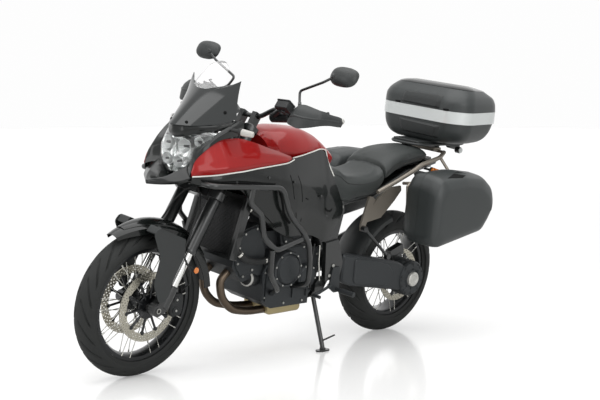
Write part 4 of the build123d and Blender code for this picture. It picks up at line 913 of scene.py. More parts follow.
# %% Fork and fender
def fender(centre, from_deg, to_deg, radius, half, drop, tip, wall, crown=26):
    """A crowned channel: an arc across its top and a lip at each side, which narrows to its front tip."""
    share = np.linspace(0, 1, 70)[:, None]
    turn = np.radians(from_deg + (to_deg - from_deg) * share)
    narrow = 1 - (1 - tip) * (1 - np.clip(share / 0.45, 0, 1)) ** 1.8
    way = np.linspace(-1, 1, 25)[None, :]
    top_r = radius - crown * way**2 * narrow
    lip_way = np.linspace(0, 1, 5)[None, 1:]
    depth = drop * narrow
    edge_r = radius - crown * narrow - depth * lip_way
    r = np.concatenate([edge_r[:, ::-1], top_r, edge_r], axis=1)
    y = np.concatenate([-half * narrow + 0 * lip_way, way * half * narrow,
                        half * narrow + 0 * lip_way], axis=1)
    return thick(round_the_hub(centre, turn, r, y), wall)


front_channel = fender(front_hub, 32, 143, 372, 71, 34, 0.42, 3.2)
top_shield = fender(front_hub, 40, 118, 377, 58, 6, 0.4, 3.0, crown=18)
piece("front_fender_skin", joined([front_channel, top_shield]), fork, gloss_black, "steering",
      ["front_fender"])

guard_outline = [(279, 612), (270, 650), (100, 666), (93, 641), (66, 600), (64, 470), (46, 420),
                 (56, 380), (84, 372), (155, 428), (190, 545)]
guard = joined([
    soft_plate(guard_outline, 16, 132.3, 136.5, 1.2),
    soft_plate([(272, 616), (264, 652), (104, 664), (97, 637)], 8, 69, 136, 1.5),
])
piece("fork_guards", mirrored(guard), fork, grained_black, "steering")

leg_at = (26.5, 107, 0)
outer_low, outer_high = 628.7, 1255
outer_tube = turned(
    [(21.8, outer_low - 6), (29, outer_low - 6), (31, outer_low - 2), (31, outer_low + 12),
     (28.5, outer_low + 16), (28.5, outer_high - 3), (26, outer_high), (12, outer_high + 1),
     (12, outer_high - 6), (21.8, outer_high - 8)],
    leg_at, upright, steps=48,
)
stanchion = turned([(12, 455), (21.4, 455), (21.4, outer_low + 50), (12, outer_low + 50)], leg_at, upright,
                   steps=40)
lower = joined([
    turned([(22, axle_s + 20), (26, axle_s + 24), (27, axle_s + 110), (27, axle_s + 122), (22, axle_s + 126)],
           leg_at, upright, steps=40),
    soft_plate([(axle_u + 24, axle_s - 16), (axle_u + 26, axle_s + 12), (51, axle_s + 70), (2, axle_s + 90),
                (3, axle_s + 20), (axle_u - 20, axle_s - 22)], 12, 88, 126, 3),
    turned([(12.3, 83), (27, 83), (27, 131), (12.3, 131)], front_hub, steps=40),
])
piece("fork_outer_tubes", mirrored(outer_tube), fork, powder_black, "steering", ["fork_tubes"])
piece("fork_stanchions", mirrored(stanchion), fork, hard_chrome, "steering")
piece("fork_bottoms", mirrored(lower), fork, powder_black, "steering", ["fork_lowers"])
print("fork made")

# %% [markdown]
# ## Tubes
#
# Crash bars, exhaust headers, handlebar and grab rails are tubes bent on a former. Each is a path with
# soft corners and a circle carried along it, which is also how it is made.

# %% Tube runs
guard_runs = [
    ([(1446, 178, 884), (1446, 248, 882), (1058, 272, 863), (1018, 290, 743), (922, 300, 647),
      (881, 290, 604), (840, 270, 506), (830, 262, 400), (812, 136, 356)], 34),
    ([(1225, 262, 870), (1236, 262, 800), (1178, 282, 751), (1172, 300, 652), (1105, 318, 593),
      (940, 300, 628)], 26),
    ([(1125, 312, 597), (1100, 290, 475), (1020, 262, 392), (940, 140, 336)], 28),
]
piece("crash_bar_tubes", mirrored(joined([bent_tube(run, bend, 12.5, 18) for run, bend in guard_runs])),
      bike, powder_black, "chassis", ["crash_bars"])

bar_points = np.array([(-120, 440, 1416), (-45, 250, 1396), (-22, 150, 1372), (-39, 60, 1320),
                       (-39, -60, 1320), (-22, -150, 1372), (-45, -250, 1396), (-120, -440, 1416)])
piece("handlebar_tube", bent_tube(bar_points, 30, 11.1, 20), fork, powder_black, "steering", ["handlebar"])

header = [bent_tube([(1156, y, 440), (1196, y, 402), (1178, y, 320), (1112, y, 256), (1000, y * 0.8, 232),
                     (880, y * 0.7, 228)], 38, 19, 20) for y in (62, -62)]
link = bent_tube([(695, -50, 232), (600, -120, 240), (500, -190, 280), (392, -208, 326)], 60, 24, 20)
piece("exhaust_header_tubes", joined([*header, link]), bike, hot_steel, "chassis", ["exhaust_headers"])
collector = soft_plate([(892, 207), (902, 254), (702, 257), (682, 235), (692, 209)], 12, -95, 85, 8)
piece("exhaust_collector", collector, bike, pale_shield, "chassis")

rail = rounded([(318, 172, 788), (190, 174, 836), (64, 170, 884), (0, 162, 912), (-170, 142, 942),
                (-236, 110, 962)], 26)
cross_rail = bent_tube([(-236, 112, 962), (-240, 0, 962), (-236, -112, 962)], 30, 8)
rails = joined([
    mirrored(joined([tube(rail, 11, 18), bar((64, 166, 884), (40, 116, 872), 8),
                     bar((-170, 142, 942), (-170, 97, 910), 8)])),
    cross_rail, plate([(-190, -75), (-190, 75), (-250, 75), (-250, -75)], 962, 982, 3, across=2),
])
piece("grab_rail_tubes", rails, bike, champagne, "chassis", ["grab_rails"])
print("tubes made")

# %% [markdown]
# ## Seats
#
# A motorcycle seat is moulded foam under a tight cover. Drawn as a plain loft it looks hard, so the loft
# starts a little small and a cloth simulation blows it up, with no weight on it, until the cover is tight.
# No point may move more than a few millimetres, because the foam holds the shape. Piping is laid on after
# that, by pulling a path onto the finished cover.


# %% Foam and cover
def evaluated_points(thing):
    """The corners of an object's mesh with its modifiers on, as an array."""
    mesh = thing.evaluated_get(bpy.context.evaluated_depsgraph_get()).data
    flat = np.empty(len(mesh.vertices) * 3)
    mesh.vertices.foreach_get("co", flat)
    return flat.reshape(-1, 3)


def bake(thing):
    """Writes an object's modifiers into its mesh and takes them off."""
    shaped = bpy.data.meshes.new_from_object(thing.evaluated_get(bpy.context.evaluated_depsgraph_get()))
    thing.modifiers.clear()
    thing.data = shaped


def puffed(thing, voxel_mm, pressure, cap_mm, frames=20):
    """Remeshes a closed form, blows it up as cloth, holds each point within the cap and smooths it."""
    remesh = thing.modifiers.new("even_mesh", "REMESH")
    remesh.mode = "VOXEL"
    remesh.voxel_size = voxel_mm / 1000
    bake(thing)
    start = evaluated_points(thing)
    cover = thing.modifiers.new("cover", "CLOTH")
    cover.settings.use_pressure = True
    cover.settings.uniform_pressure_force = pressure
    cover.settings.tension_stiffness = 40
    cover.settings.compression_stiffness = 40
    cover.settings.bending_stiffness = 6
    cover.settings.effector_weights.gravity = 0
    cover.point_cache.frame_start = 1
    cover.point_cache.frame_end = frames
    for step in range(1, frames + 1):
        bpy.context.scene.frame_set(step)
    moved = evaluated_points(thing) - start
    thing.modifiers.clear()
    length = np.linalg.norm(moved, axis=1, keepdims=True)
    held = start + moved * np.minimum(1, cap_mm / 1000 / np.maximum(length, 1e-9))
    thing.data.vertices.foreach_set("co", held.ravel())
    thing.data.update()
    bpy.context.scene.frame_set(1)
    soften = thing.modifiers.new("soften", "SMOOTH")
    soften.factor = 0.5
    soften.iterations = 4
    bake(thing)
    thing.data.polygons.foreach_set("use_smooth", np.ones(len(thing.data.polygons), bool))


def seat(name, table, bend, material, replaced):
    """One seat: its foam as a closed loft, and its cover by simulation."""
    made = piece(name, body(table, bend, 50), bike, material, "chassis", [replaced])
    puffed(made, 6, 4.0, 7)
    made.data.materials.clear()
    made.data.materials.append(material)
    return made


def on_cover(cover, path, ruler, lift=0.4):
    """A path pulled onto the nearest points of a cover and raised by lift, in mm of the row's own frame."""
    tree = BVHTree.FromObject(cover, bpy.context.evaluated_depsgraph_get())
    found = [tree.find_nearest(Vector(p)) for p in ruler(path)]
    at, out = (np.array([list(hit[i]) for hit in found]) for i in (0, 1))
    return at * 1000 + out * lift


rider_table = [
    (632, [(0, 880), (66, 882), (112, 880), (136, 868), (150, 838), (142, 806), (0, 796)]),
    (600, [(0, 912), (62, 916), (114, 908), (142, 878), (158, 830), (152, 776), (0, 772)]),
    (560, [(0, 906), (70, 908), (122, 898), (150, 862), (162, 812), (154, 748), (0, 748)]),
    (500, [(0, 862), (84, 866), (134, 860), (156, 832), (164, 790), (154, 746), (0, 746)]),
    (420, [(0, 850), (94, 856), (142, 852), (160, 826), (160, 790), (150, 758), (0, 756)]),
    (340, [(0, 858), (98, 862), (142, 856), (158, 832), (156, 800), (146, 772), (0, 768)]),
    (280, [(0, 886), (98, 882), (136, 870), (150, 846), (148, 818), (142, 804), (0, 784)]),
    (243, [(0, 922), (92, 912), (126, 898), (142, 870), (142, 850), (136, 842), (0, 804)]),
]
pillion_table = [
    (238, [(0, 930), (92, 920), (128, 902), (144, 872), (143, 852), (136, 842), (0, 806)]),
    (190, [(0, 956), (92, 950), (130, 932), (146, 902), (144, 876), (136, 862), (0, 824)]),
    (120, [(0, 974), (88, 969), (126, 952), (143, 924), (140, 900), (130, 890), (0, 850)]),
    (20, [(0, 983), (82, 979), (120, 964), (138, 940), (134, 922), (124, 914), (0, 882)]),
    (-60, [(0, 985), (76, 982), (112, 970), (130, 950), (126, 934), (116, 926), (0, 898)]),
    (-98, [(0, 980), (66, 977), (98, 966), (114, 952), (110, 942), (100, 936), (0, 906)]),
]
rider_cover = seat("rider_seat_cover", rider_table, 34, seat_vinyl, "rider_seat")
pillion_cover = seat("pillion_seat_cover", pillion_table, 30, seat_vinyl, "pillion_seat")
side_seam = crease_line([(622, 132, 876), (600, 140, 884), (560, 146, 872), (500, 154, 838), (420, 158, 830),
                         (340, 155, 836), (280, 147, 850), (248, 140, 874)])
rear_seam = crease_line([(232, 141, 876), (190, 143, 906), (120, 140, 928), (20, 135, 944), (-60, 127, 954),
                         (-92, 112, 956)])
piping = [tube(on_cover(cover, seam * [1, side, 1], bike), 1.6, 8)
          for cover, seam in ((rider_cover, side_seam), (pillion_cover, rear_seam)) for side in (1, -1)]
piece("seat_piping", joined(piping), row, soft_rubber, "chassis")
print("seats made")

# %% [markdown]
# ## Luggage
#
# The cases are moulded hollow, with big radii. Each half is a dish: rings that start at its seam and close
# over its far side, with the same rings a wall's thickness inside. Lids stay separate dishes on their own
# hinges, so an open case shows its inside.


# %% Dishes
def dish(rings, wall=4, count=44):
    """A hollow half from its seam ring to its closed end: outer rings, and the same drawn in by the wall."""
    rings = np.asarray(rings, float)
    middle = rings[0].mean(0)
    far = rings[-1].mean(0)
    tip = far + (rings[-1] - far) * 0.04
    outer = np.concatenate([through(rings, count), tip[None]])
    reach = np.abs(outer - middle).max(axis=(0, 1))
    inner = middle + (outer - middle) * (1 - wall / reach)
    return grid(np.concatenate([outer[::-1], inner])), outer


def level_ring(z, front_x, rear_x, front_half, rear_half, corner, bend=52, fall=0.0):
    """The top case's outline at one height: a trapezium with soft corners, which may fall to the rear."""
    half = [
        (front_x, front_half - corner), (front_x - corner, front_half), (rear_x + corner, rear_half),
        (rear_x, rear_half - corner),
    ]
    ring = half + [(x, -y) for x, y in reversed(half)]
    return rounded([(x, y, z - fall * (front_x - x)) for x, y in ring], bend, 7, closed=True)


def side_ring(y, top, low, front, rear, bend=26):
    """The side case's outline at one distance out: a level roof, a blunt rear corner and a rising floor."""
    floor = [low + 0.186 * (-20 - x) for x in (front, front - 40, rear + 66, rear)]
    ring = [
        (front, floor[0] + 48), (front, top - 74), (front - 34, top - 14), (-10, top), (rear + 96, top - 18),
        (rear + 30, top - 64), (rear + 6, top - 128), (rear + 28, floor[3] + 54), (rear + 78, floor[2]),
        (front - 40, floor[1]),
    ]
    return rounded([(x, y, z) for x, z in ring], bend, 7, closed=True)


top_base, _ = dish([
    level_ring(1130, -106, -534, 288, 240, 78), level_ring(1090, -110, -524, 282, 232, 76),
    level_ring(1050, -118, -502, 264, 216, 74), level_ring(1030, -126, -470, 240, 200, 72),
    level_ring(1020, -136, -438, 212, 178, 68),
])
top_lid, lid_outer = dish([
    level_ring(1192.6, -104, -540, 292, 244, 78), level_ring(1230, -105, -537, 291, 240, 78, fall=0.01),
    level_ring(1262, -118, -528, 281, 228, 76, fall=0.02),
    level_ring(1292, -146, -502, 260, 202, 74, fall=0.045),
    level_ring(1306, -162, -486, 244, 186, 72, 44, 0.06),
    level_ring(1315, -188, -458, 218, 162, 66, 44, 0.075),
    level_ring(1320, -224, -414, 176, 128, 54, 40, 0.08),
])
band_rings = through([level_ring(z, -102, -541, 292.5, 244.5, 79)
                      for z in (1130.3, 1134, 1161, 1188, 1192)], 16)
band_middle = band_rings.reshape(-1, 3).mean(0)
band_inner = band_middle + (band_rings[::-1] - band_middle) * [0.98, 0.985, 1]
band = grid(np.concatenate([band_rings, band_inner]), wrap_rows=True, caps=False)
base_skin = piece("top_case_base_skin", top_base, bike, case_black, "chassis", ["top_case_base"])
lid_skin = piece("top_case_lid_skin", top_lid, bike, case_black, "top_case_lid", ["top_case_lid"])
piece("top_case_silver_band", band, bike, silver_paint, "chassis", ["top_case_band"])


def laid_pad(cover, corners, lift, wall=3.0, size=(16, 28), edge=2):
    """A pad on a cover: a grid between four corners, pulled onto it and raised by lift inside its bevel."""
    low_start, low_end, high_start, high_end = (bike([corner]) for corner in corners)
    up = np.linspace(0, 1, size[0])[:, None, None]
    along = np.linspace(0, 1, size[1])[None, :, None]
    low = low_start + (low_end - low_start) * along
    high = high_start + (high_end - high_start) * along
    flat = low * (1 - up) + high * up
    tree = BVHTree.FromObject(cover, bpy.context.evaluated_depsgraph_get())
    found = [tree.find_nearest(Vector(p)) for p in flat.reshape(-1, 3)]
    on = np.array([list(f[0]) for f in found]).reshape(*size, 3) * 1000
    out = np.array([list(f[1]) for f in found]).reshape(*size, 3)
    near = np.minimum.outer(*(np.minimum(np.arange(n), np.arange(n)[::-1]) for n in size))
    height = lift * np.clip(near / edge, 0, 1)[..., None] + 0.3
    return grid(np.concatenate([on + out * height, (on - out * wall)[:, ::-1]], axis=1))


lid_pad = laid_pad(lid_skin, [(-104, -112, 1202), (-104, 150, 1198), (-110, -96, 1262),
                              (-110, 160, 1272)], 10)
base_pad = laid_pad(base_skin, [(-118, -96, 1050), (-118, 150, 1046), (-106, -120, 1120),
                                (-106, 160, 1112)], 10)
piece("top_case_lid_pad", lid_pad, row, grained_black, "top_case_lid")
piece("top_case_base_pad", base_pad, row, grained_black, "chassis")
first_roof_row = 26
top_part = lid_outer[first_roof_row:]
top_panel = grid(np.concatenate([(top_part + [0, 0, 2.2])[::-1], top_part - [0, 0, 2]]))
piece("top_case_lid_panel", top_panel, bike, gloss_black, "top_case_lid")
catches = [[(-100, y, 1194), (-100, y + 34, 1194), (-100, y, 1204), (-100, y + 34, 1204)]
           for y in (-150, 176)]
tabs = [laid_pad(lid_skin, corners, 5, 2, (6, 8), 1) for corners in catches]
piece("top_case_catches", joined(tabs), row, near_black_and_shade, "top_case_lid")
face_ring = side_ring(474, 856, 626, 178, -222, 22)


def drawn_in(ring, share, y):
    """A ring shrunk towards its own middle and set at a distance out."""
    middle = ring.mean(0)
    return (middle + (ring - middle) * share) * [1, 0, 1] + [0, y, 0]


side_lid, _ = dish([
    side_ring(345.3, 921, 586, 212, -268), side_ring(400, 916, 586, 212, -268),
    side_ring(448, 900, 591, 206, -256), side_ring(461, 886, 601, 197, -245),
    side_ring(470, 868, 615, 187, -232), face_ring, drawn_in(face_ring, 0.8, 475.6),
    drawn_in(face_ring, 0.45, 476.4), drawn_in(face_ring, 0.2, 476.6),
])
side_base, _ = dish([
    side_ring(344.7, 921, 586, 212, -268), side_ring(300, 915, 584, 208, -266),
    side_ring(262, 900, 588, 198, -258), side_ring(246, 878, 604, 184, -244),
    side_ring(240, 856, 624, 168, -226),
])
piece("side_case_inner_skins", mirrored(side_base), bike, case_black, "chassis", ["side_case_shells"])

# Each side lid has a grip hollow in its roof, drawn as a flat near-black pad of painted shade, and a
# reflector at its rear corner.
for side, lid, body_name in ((1, side_lid, "left_case_lid"), (-1, mirror_only(side_lid), "right_case_lid")):
    skin = piece(body_name + "_skin", lid, bike, case_black, body_name, [body_name])
    across = np.array([1, side, 1])
    grip_shade_corners = np.array([(120, 440, 912), (-36, 372, 912), (20, 452, 905), (-70, 410, 905)])
    # The pad is painted shade: a raised near-black patch where the real grip hollow lies in shadow.
    hollow = laid_pad(skin, grip_shade_corners * across, 0.6)
    piece(body_name + "_grip_painted_shade", hollow, row, near_black_and_shade, body_name)
    glow_corners = np.array([(-262, 372, 790), (-262, 392, 790), (-262, 372, 838), (-262, 392, 838)])
    glow = laid_pad(skin, glow_corners * across, 2, size=(8, 6), edge=1)
    piece(body_name + "_reflector", glow, row, red_lens, body_name)
print("cases made")

# %% [markdown]
# ## Mirrors, guards and signals
#
# Small parts on the handlebar are seen against the background, so their outlines matter most. A mirror
# head is half an egg with a flat glass, a hand guard is one bent sheet, and a turn signal is a stalk with
# a short lens.


# %% Handlebar parts
def egg(centre, half_width, half_height, depth, back_x, square=0.78):
    """Half an egg: a rounded outline in y and z that shrinks along a quarter circle towards the front."""
    turn = full_turn(56)[None, :]
    lift = np.linspace(0.06, 1, 14)[:, None] ** 0.6
    y = np.sign(np.cos(turn)) * np.abs(np.cos(turn)) ** square * half_width * lift
    z = np.sign(np.sin(turn)) * np.abs(np.sin(turn)) ** square * half_height * lift
    x = back_x + depth * np.sqrt(np.clip(1 - lift**2, 0, 1)) + 0 * turn
    return grid(np.stack([x, y, z], -1) + np.asarray(centre, float))


mirror_centre = (-10, 440, 1583)
head = joined([egg(mirror_centre, 75.4, 46, 40, -18), bar((-4, 404, 1570), (8, 396, 1566), 15, 9)])
stem = bent_tube([(-47, 258, 1408), (-52, 234, 1438), (-46, 212, 1486), (-14, 352, 1538),
                  (-6, 398, 1566)], 18, 6, 16)
foot = joined([bar((-47, 262, 1402), (-49, 248, 1420), 12, 9, 24),
               bar((-49, 248, 1420), (-52, 236, 1436), 9, 8, 24)])
glass = egg(mirror_centre, 69, 40, -1.5, -19)
piece("mirror_heads", mirrored(head), fork, grained_black, "steering", ["mirrors"])
piece("mirror_stems", mirrored(joined([stem, foot])), fork, powder_black, "steering")
piece("mirror_faces", mirrored(glass), fork, mirror_glass, "steering")

# Each row is (u, y, low, high): the guard's sheet in plan, with its lower and upper edge.
guard_rows = [
    (34, 300, 1312, 1340), (46, 318, 1298, 1368), (52, 344, 1290, 1392), (47, 376, 1286, 1398),
    (32, 414, 1300, 1397), (0, 446, 1330, 1400), (-50, 455, 1360, 1412), (-100, 455, 1380, 1426),
    (-128, 454, 1392, 1428),
]
sheet_rows = [
    [(u - 3, y - 3, low), (u + 4, y + 4, 0.6 * low + 0.4 * high), (u + 3, y + 3, 0.25 * low + 0.75 * high),
     (u - 6, y - 4, high)] for u, y, low, high in guard_rows
]
guard_sheet = thick(through(np.array([rounded(r, 12, 5) for r in sheet_rows]), 60), 4.0)
rib = tube(through([(u + 2, y + 2, 0.55 * low + 0.45 * high) for u, y, low, high in guard_rows[1:8]],
                   40), 5, 10)
bar_bend, bar_run = np.array([-45, 250, 1396.0]), np.array([-75, 190, 20.0])
bar_tip = np.array([-125.3, 453.5, 1417.4])
bar_way = unit(bar_run)
end_plug = joined([bar(bar_tip - bar_way * 12, bar_tip, 13, sides=24),
                   bar(bar_tip, bar_tip + bar_way * 4, 9, sides=20)])
piece("hand_guard_sheets", mirrored(joined([guard_sheet, rib])), fork, grained_black, "steering",
      ["hand_guards"])
piece("bar_end_plugs", mirrored(end_plug), fork, cast_grey, "steering")


def on_bar(share, shift=(0, 0, 0)):
    """A point on the handlebar's outer run, from its bend (0) to its end (1), moved by a shift."""
    return bar_bend + bar_run * share + shift


def tapered(path, start, end, sides=12):
    """A tube whose radius goes evenly from one end to the other."""
    return tube(path, np.linspace(start, end, len(path)), sides)


reservoir_at = np.array([34, 248, 1372.0])


def reservoir_part(low, high, grow):
    """A layer of the square fluid reservoir, between two heights and wider all round by grow."""
    wide = 24 + grow
    corners = [(-wide, -34 - grow), (wide, -36 - grow), (wide, 34 + grow), (-wide, 36 + grow)]
    surface, faces = soft_plate(corners, 8, low, high, 2, across=2)
    tilt = np.array([[1, 0, 0.16], [0, 1, 0.08], [-0.16, -0.08, 1]])
    return surface @ tilt + reservoir_at, faces


lever_run = [on_bar(0.2, (30, 0, 4)), on_bar(0.36, (54, 0, 3)), on_bar(0.9, (64, 0, -2))]
control = joined([
    bar((-42, 130, 1336), (-44, 235, 1358), 24, 26, 28), bar((-44, 235, 1358), on_bar(0.2), 24, 19, 28),
    bar(on_bar(0.06), on_bar(0.28), 20, sides=28),
    bar((-34, 144, 1340), reservoir_at - [6, 22, 16], 15, 12, 20),
    bar((-44, 215, 1370), reservoir_at - [0, 0, 14], 18, 14, 20), reservoir_part(-20, 14, 0),
    reservoir_part(14, 21, 2.5), tapered(rounded(lever_run, 26), 6.5, 4.5),
    bar(on_bar(0.89, (64, 0, -2)), on_bar(0.93, (65, 0, -2)), 8, sides=16),
])
piece("bar_control_sets", mirrored(control), fork, engine_black, "steering", ["bar_controls"])

# The shelf under the screen and the instrument console behind it.
shelf_arc = screen_point(-0.04, np.linspace(-0.97, 0.97, 41)) * [1, 0.96, 1] - [7, 0, 0]
shelf = plate(np.concatenate([shelf_arc[:, :2], [[1318, 118], [1318, -118]]]), 1099, 1122, 1, across=2)
console = body([
    (1392, [(0, 1118), (70, 1116), (80, 1108), (0, 1104)]),
    (1382, [(0, 1124), (104, 1120), (118, 1106), (0, 1102)]),
    (1300, [(0, 1150), (110, 1146), (140, 1112), (0, 1102)]),
    (1226, [(0, 1212), (100, 1204), (118, 1172), (0, 1168)]),
    (1204, [(0, 1218), (92, 1208), (92, 1172), (0, 1168)]),
    (1202, [(0, 1212), (84, 1203), (84, 1176), (0, 1172)]),
], 8, 30)
piece("dash_console", joined([shelf, console]), bike, grained_black, "chassis", ["dash"])
face = soft_plate([(-78, 1180), (78, 1180), (76, 1200), (50, 1208), (-50, 1208), (-76, 1200)], 6, 1199,
                  1203, 1, 0)
piece("dash_face", face, bike, smoke_lens, "chassis")

front_lens = bar((1295, 230, 1107.5), (1268, 278, 1103), 15.5, 13, 24)
front_stalk = joined([bar((1318, 174, 1112), (1298, 222, 1108), 8, 9),
                      bar((1300, 218, 1108.5), (1294, 231, 1107), 16, 16, 24)])
rear_stalk = joined([bar((-120, 84, 876), (-128, 128, 874), 6),
                     bar((-127, 122, 874), (-128, 134, 874), 16.5, 16.5, 24)])
rear_lens = bar((-128, 134, 874), (-132, 176, 872), 15.5, 13, 24)
piece("signal_stalks", mirrored(joined([front_stalk, rear_stalk])), bike, soft_rubber, "chassis",
      ["indicators"])
piece("front_signal_lenses", mirrored(front_lens), bike, pale_lens, "chassis")
piece("rear_signal_lenses", mirrored(rear_lens), bike, amber_lens, "chassis")
leg_lamp = joined([bar((8, 116, 574), (-49, 113, 574), 4), disc((-49, 110, 574), sideways, 17, 0, 8)])
leg_glow = disc((-49, 118, 574), sideways, 14, 0, 5, 2)
piece("leg_reflector_holders", mirrored(leg_lamp), fork, soft_rubber, "steering")
piece("leg_reflectors", mirrored(leg_glow), fork, amber_lens, "steering")
print("handlebar parts made")

# %% [markdown]
# ## Engine and radiator
#
# Cast covers are turned rings with a bolt circle. The parts that catch light are small: bolt heads, the
# filter's rim, hose clips and the edges of the fins. They stand on the plain packed castings.


# %% Covers, fins and hoses
def ring_of_bolts(centre, radius, count, y, head=5.0, height=4.0, start=0.2):
    """Bolt heads evenly round a circle that faces sideways."""
    return bolts(round_the_hub(centre, start + full_turn(count), radius, y), sideways, head, height)


clutch_at, alternator_at = (891, 0, 455), (740, 0, 400)
clutch_profile = [(2, 143), (86, 143), (86, 180), (84, 186), (74, 188), (71, 184), (68, 188), (62, 196),
                  (40, 199.5), (2, 200)]
clutch = turned(clutch_profile, clutch_at, steps=72)
alternator = turned([(2, 143), (60, 143), (60, 158), (57, 163), (48, 164), (44, 168), (20, 170), (2, 170)],
                    alternator_at, steps=60)
cover_heads = joined([ring_of_bolts(clutch_at, 79, 9, 186), ring_of_bolts(alternator_at, 53, 6, 163)])
piece("engine_side_covers", joined([mirrored(clutch), alternator]), bike, engine_paint, "chassis",
      ["engine_covers"])
filter_at, filter_axis = (1010, 86, 404), (0.94, 0.25, 0.1)
filter_can = turned([(2, 0), (36, 0), (38, 4), (38, 58), (34, 66), (20, 69), (2, 69)], filter_at,
                    filter_axis, 48)
piece("oil_filter", filter_can, bike, engine_black, "chassis")
filter_rim = turned([(33, 56), (37, 60), (36, 67), (31, 69), (29, 66)], filter_at, filter_axis, 48)
piece("oil_filter_rim", filter_rim, bike, cast_grey, "chassis")

front_head = [(1046, 642), (1058, 660), (1138, 634), (1168, 560), (1172, 486), (1128, 420), (1060, 452)]
rear_head = [(690, 690), (830, 748), (888, 624), (872, 560), (720, 560)]
side_plates = joined([soft_plate(front_head, 14, 125, 133, 2.5), soft_plate(rear_head, 14, 115, 122, 2.5)])
casting_ribs = [plate([(x, 300 + 0.2 * (x - 700)), (x + 5, 300), (x + 9, 520), (x + 4, 520)], 140, 147, 1)
                for x in (716, 806, 978)]
crankcase_half = 140
seam_run = [(664, 352), (654, 512), (760, 548), (952, 532), (1000, 440), (992, 306)]
case_seam = tube(np.insert(rounded(seam_run, 24), 1, crankcase_half, axis=1), 4, 10)
piece("engine_side_plates", mirrored(joined([side_plates, *casting_ribs, case_seam])), bike,
      engine_paint, "chassis")

edge_bolts = [(1062, 133, 648), (1128, 133, 628), (1158, 133, 566), (1162, 133, 494), (1124, 133, 432),
              (1072, 133, 458), (704, 122, 688), (824, 122, 738), (876, 122, 628), (866, 122, 572),
              (730, 122, 570), (668, 140, 500), (760, 140, 542), (948, 140, 526), (992, 140, 438),
              (984, 140, 318), (860, 140, 280), (740, 140, 280)]
frame_bolts = [(601, 190, 448), (622, 190, 400), (600, 172, 346), (654, 172, 690), (570, 179, 730)]
heads = joined([cover_heads, bolts(edge_bolts, sideways, 6, 5), bolts(frame_bolts, sideways, 9, 5)])
piece("engine_bolt_heads", mirrored(heads), bike, bolt_steel, "chassis")

water_hose = bent_tube([(1186, 150, 560), (1150, 168, 520), (1074, 160, 500), (1000, 150, 500)], 34, 15, 18)
upper_hose = bent_tube([(1150, 148, 760), (1090, 166, 720), (1010, 150, 690), (960, 118, 660)], 34, 14, 18)
oil_line = bent_tube([(690, 176, 552), (690, 180, 470), (668, 176, 376)], 20, 3.5, 10)
thin_lines = [bent_tube([(720, 170, 560), (742, 182, 480), (728, 176, 350)], 26, 4.5, 10),
              bent_tube([(930, 150, 620), (860, 168, 590), (770, 160, 560)], 26, 5, 10)]
piece("water_hoses", mirrored(joined([water_hose, upper_hose, *thin_lines])), bike, soft_rubber, "chassis")
clips = [turned([(14.5, -5), (17, -5), (17, 5), (14.5, 5)], p, d, 28) for p, d in (
    ((1172, 158, 544), (0.7, -0.3, 0.65)), ((1016, 152, 500), (1, 0.1, 0)),
    ((1134, 153, 749), (0.8, -0.25, 0.5)))]
piece("hose_clips", mirrored(joined([*clips, oil_line])), bike, polished_steel, "chassis")


def core_fins(low, high, deep, half, count, thickness):
    """A stack of thin level blades between a low and a high edge point, each as deep as the core."""
    low, high = np.asarray(low, float), np.asarray(high, float)
    across = np.array(deep, float)
    up = unit(high - low) * thickness
    starts = low + (high - low) * np.linspace(0.03, 0.97, count)[:, None]
    return joined([plate([p, p + across, p + across + up, p + up], -half, half, 0.3) for p in starts])


core_low, core_high, core_deep = (1245, 540), (1174, 800), (-38, -10)
fins = core_fins(core_low, core_high, core_deep, 150, 44, 2.0)
tanks = joined([
    soft_plate([(1247, 538), (1175, 802), (1137, 791), (1209, 528)], 8, 150, 178, 4),
    plate([(1231, 535), (1160, 799), (1150, 796), (1221, 532)], -150, 150, 1),
    bar((1152, 104, 775), (1034, 104, 905), 7),
])
caps = joined([plate([(1249, 530), (1246, 546), (1205, 536), (1208, 520)], -178, 178, 3),
               plate([(1178, 794), (1175, 808), (1134, 798), (1138, 784)], -178, 178, 3)])
piece("radiator_tanks", joined([mirrored(tanks), caps]), bike, powder_black, "chassis", ["radiator"])
piece("radiator_fins", fins, bike, engine_black, "chassis")
print("engine made")

# %% [markdown]
# ## Brakes and final drive
#
# Calipers straddle the disc: an outer and an inner half joined by a bridge, with round piston caps. The
# final drive is a turned housing with ribs and a pale bare-metal cap over the axle. The swingarm and the
# rack under the top case are plates with bevelled rims, laid one on another.

# %% Calipers and final drive
caliper_turn = math.radians(153)
caliper_out = np.array([math.cos(caliper_turn), math.sin(caliper_turn)])
caliper_side = np.array([-caliper_out[1], caliper_out[0]])


def caliper_outline(points, bend=12):
    """An outline given as (distance out from the axle, distance along), turned into place round the axle."""
    flat = np.array([front_hub[[0, 2]] + caliper_out * r + caliper_side * t for r, t in points])
    return rounded(flat, bend, closed=True)


half_outline = caliper_outline([(108, -42), (120, -54), (166, -50), (176, -30), (176, 30), (166, 50),
                                (120, 54), (108, 42)])
bridge_outline = caliper_outline([(160, -46), (176, -28), (176, 28), (160, 46)], 6)
caps_at = [front_hub + np.insert(caliper_out * 134 + caliper_side * t, 1, 0) for t in (-25, 25)]
caliper = joined([
    plate(half_outline, 70, 91, 4), plate(half_outline, 42, 55, 3), plate(bridge_outline, 54, 71, 1),
    *[disc(p + [0, 91, 0], sideways, 17, -1, 4, 1.5) for p in caps_at],
])
caliper_bolts = bolts([p + [0, 95, 0] for p in caps_at], sideways, 6, 3)
piece("front_caliper_bodies", mirrored(caliper), fork, engine_black, "steering", ["front_calipers"])
piece("front_caliper_bolts", mirrored(caliper_bolts), fork, bolt_steel, "steering")

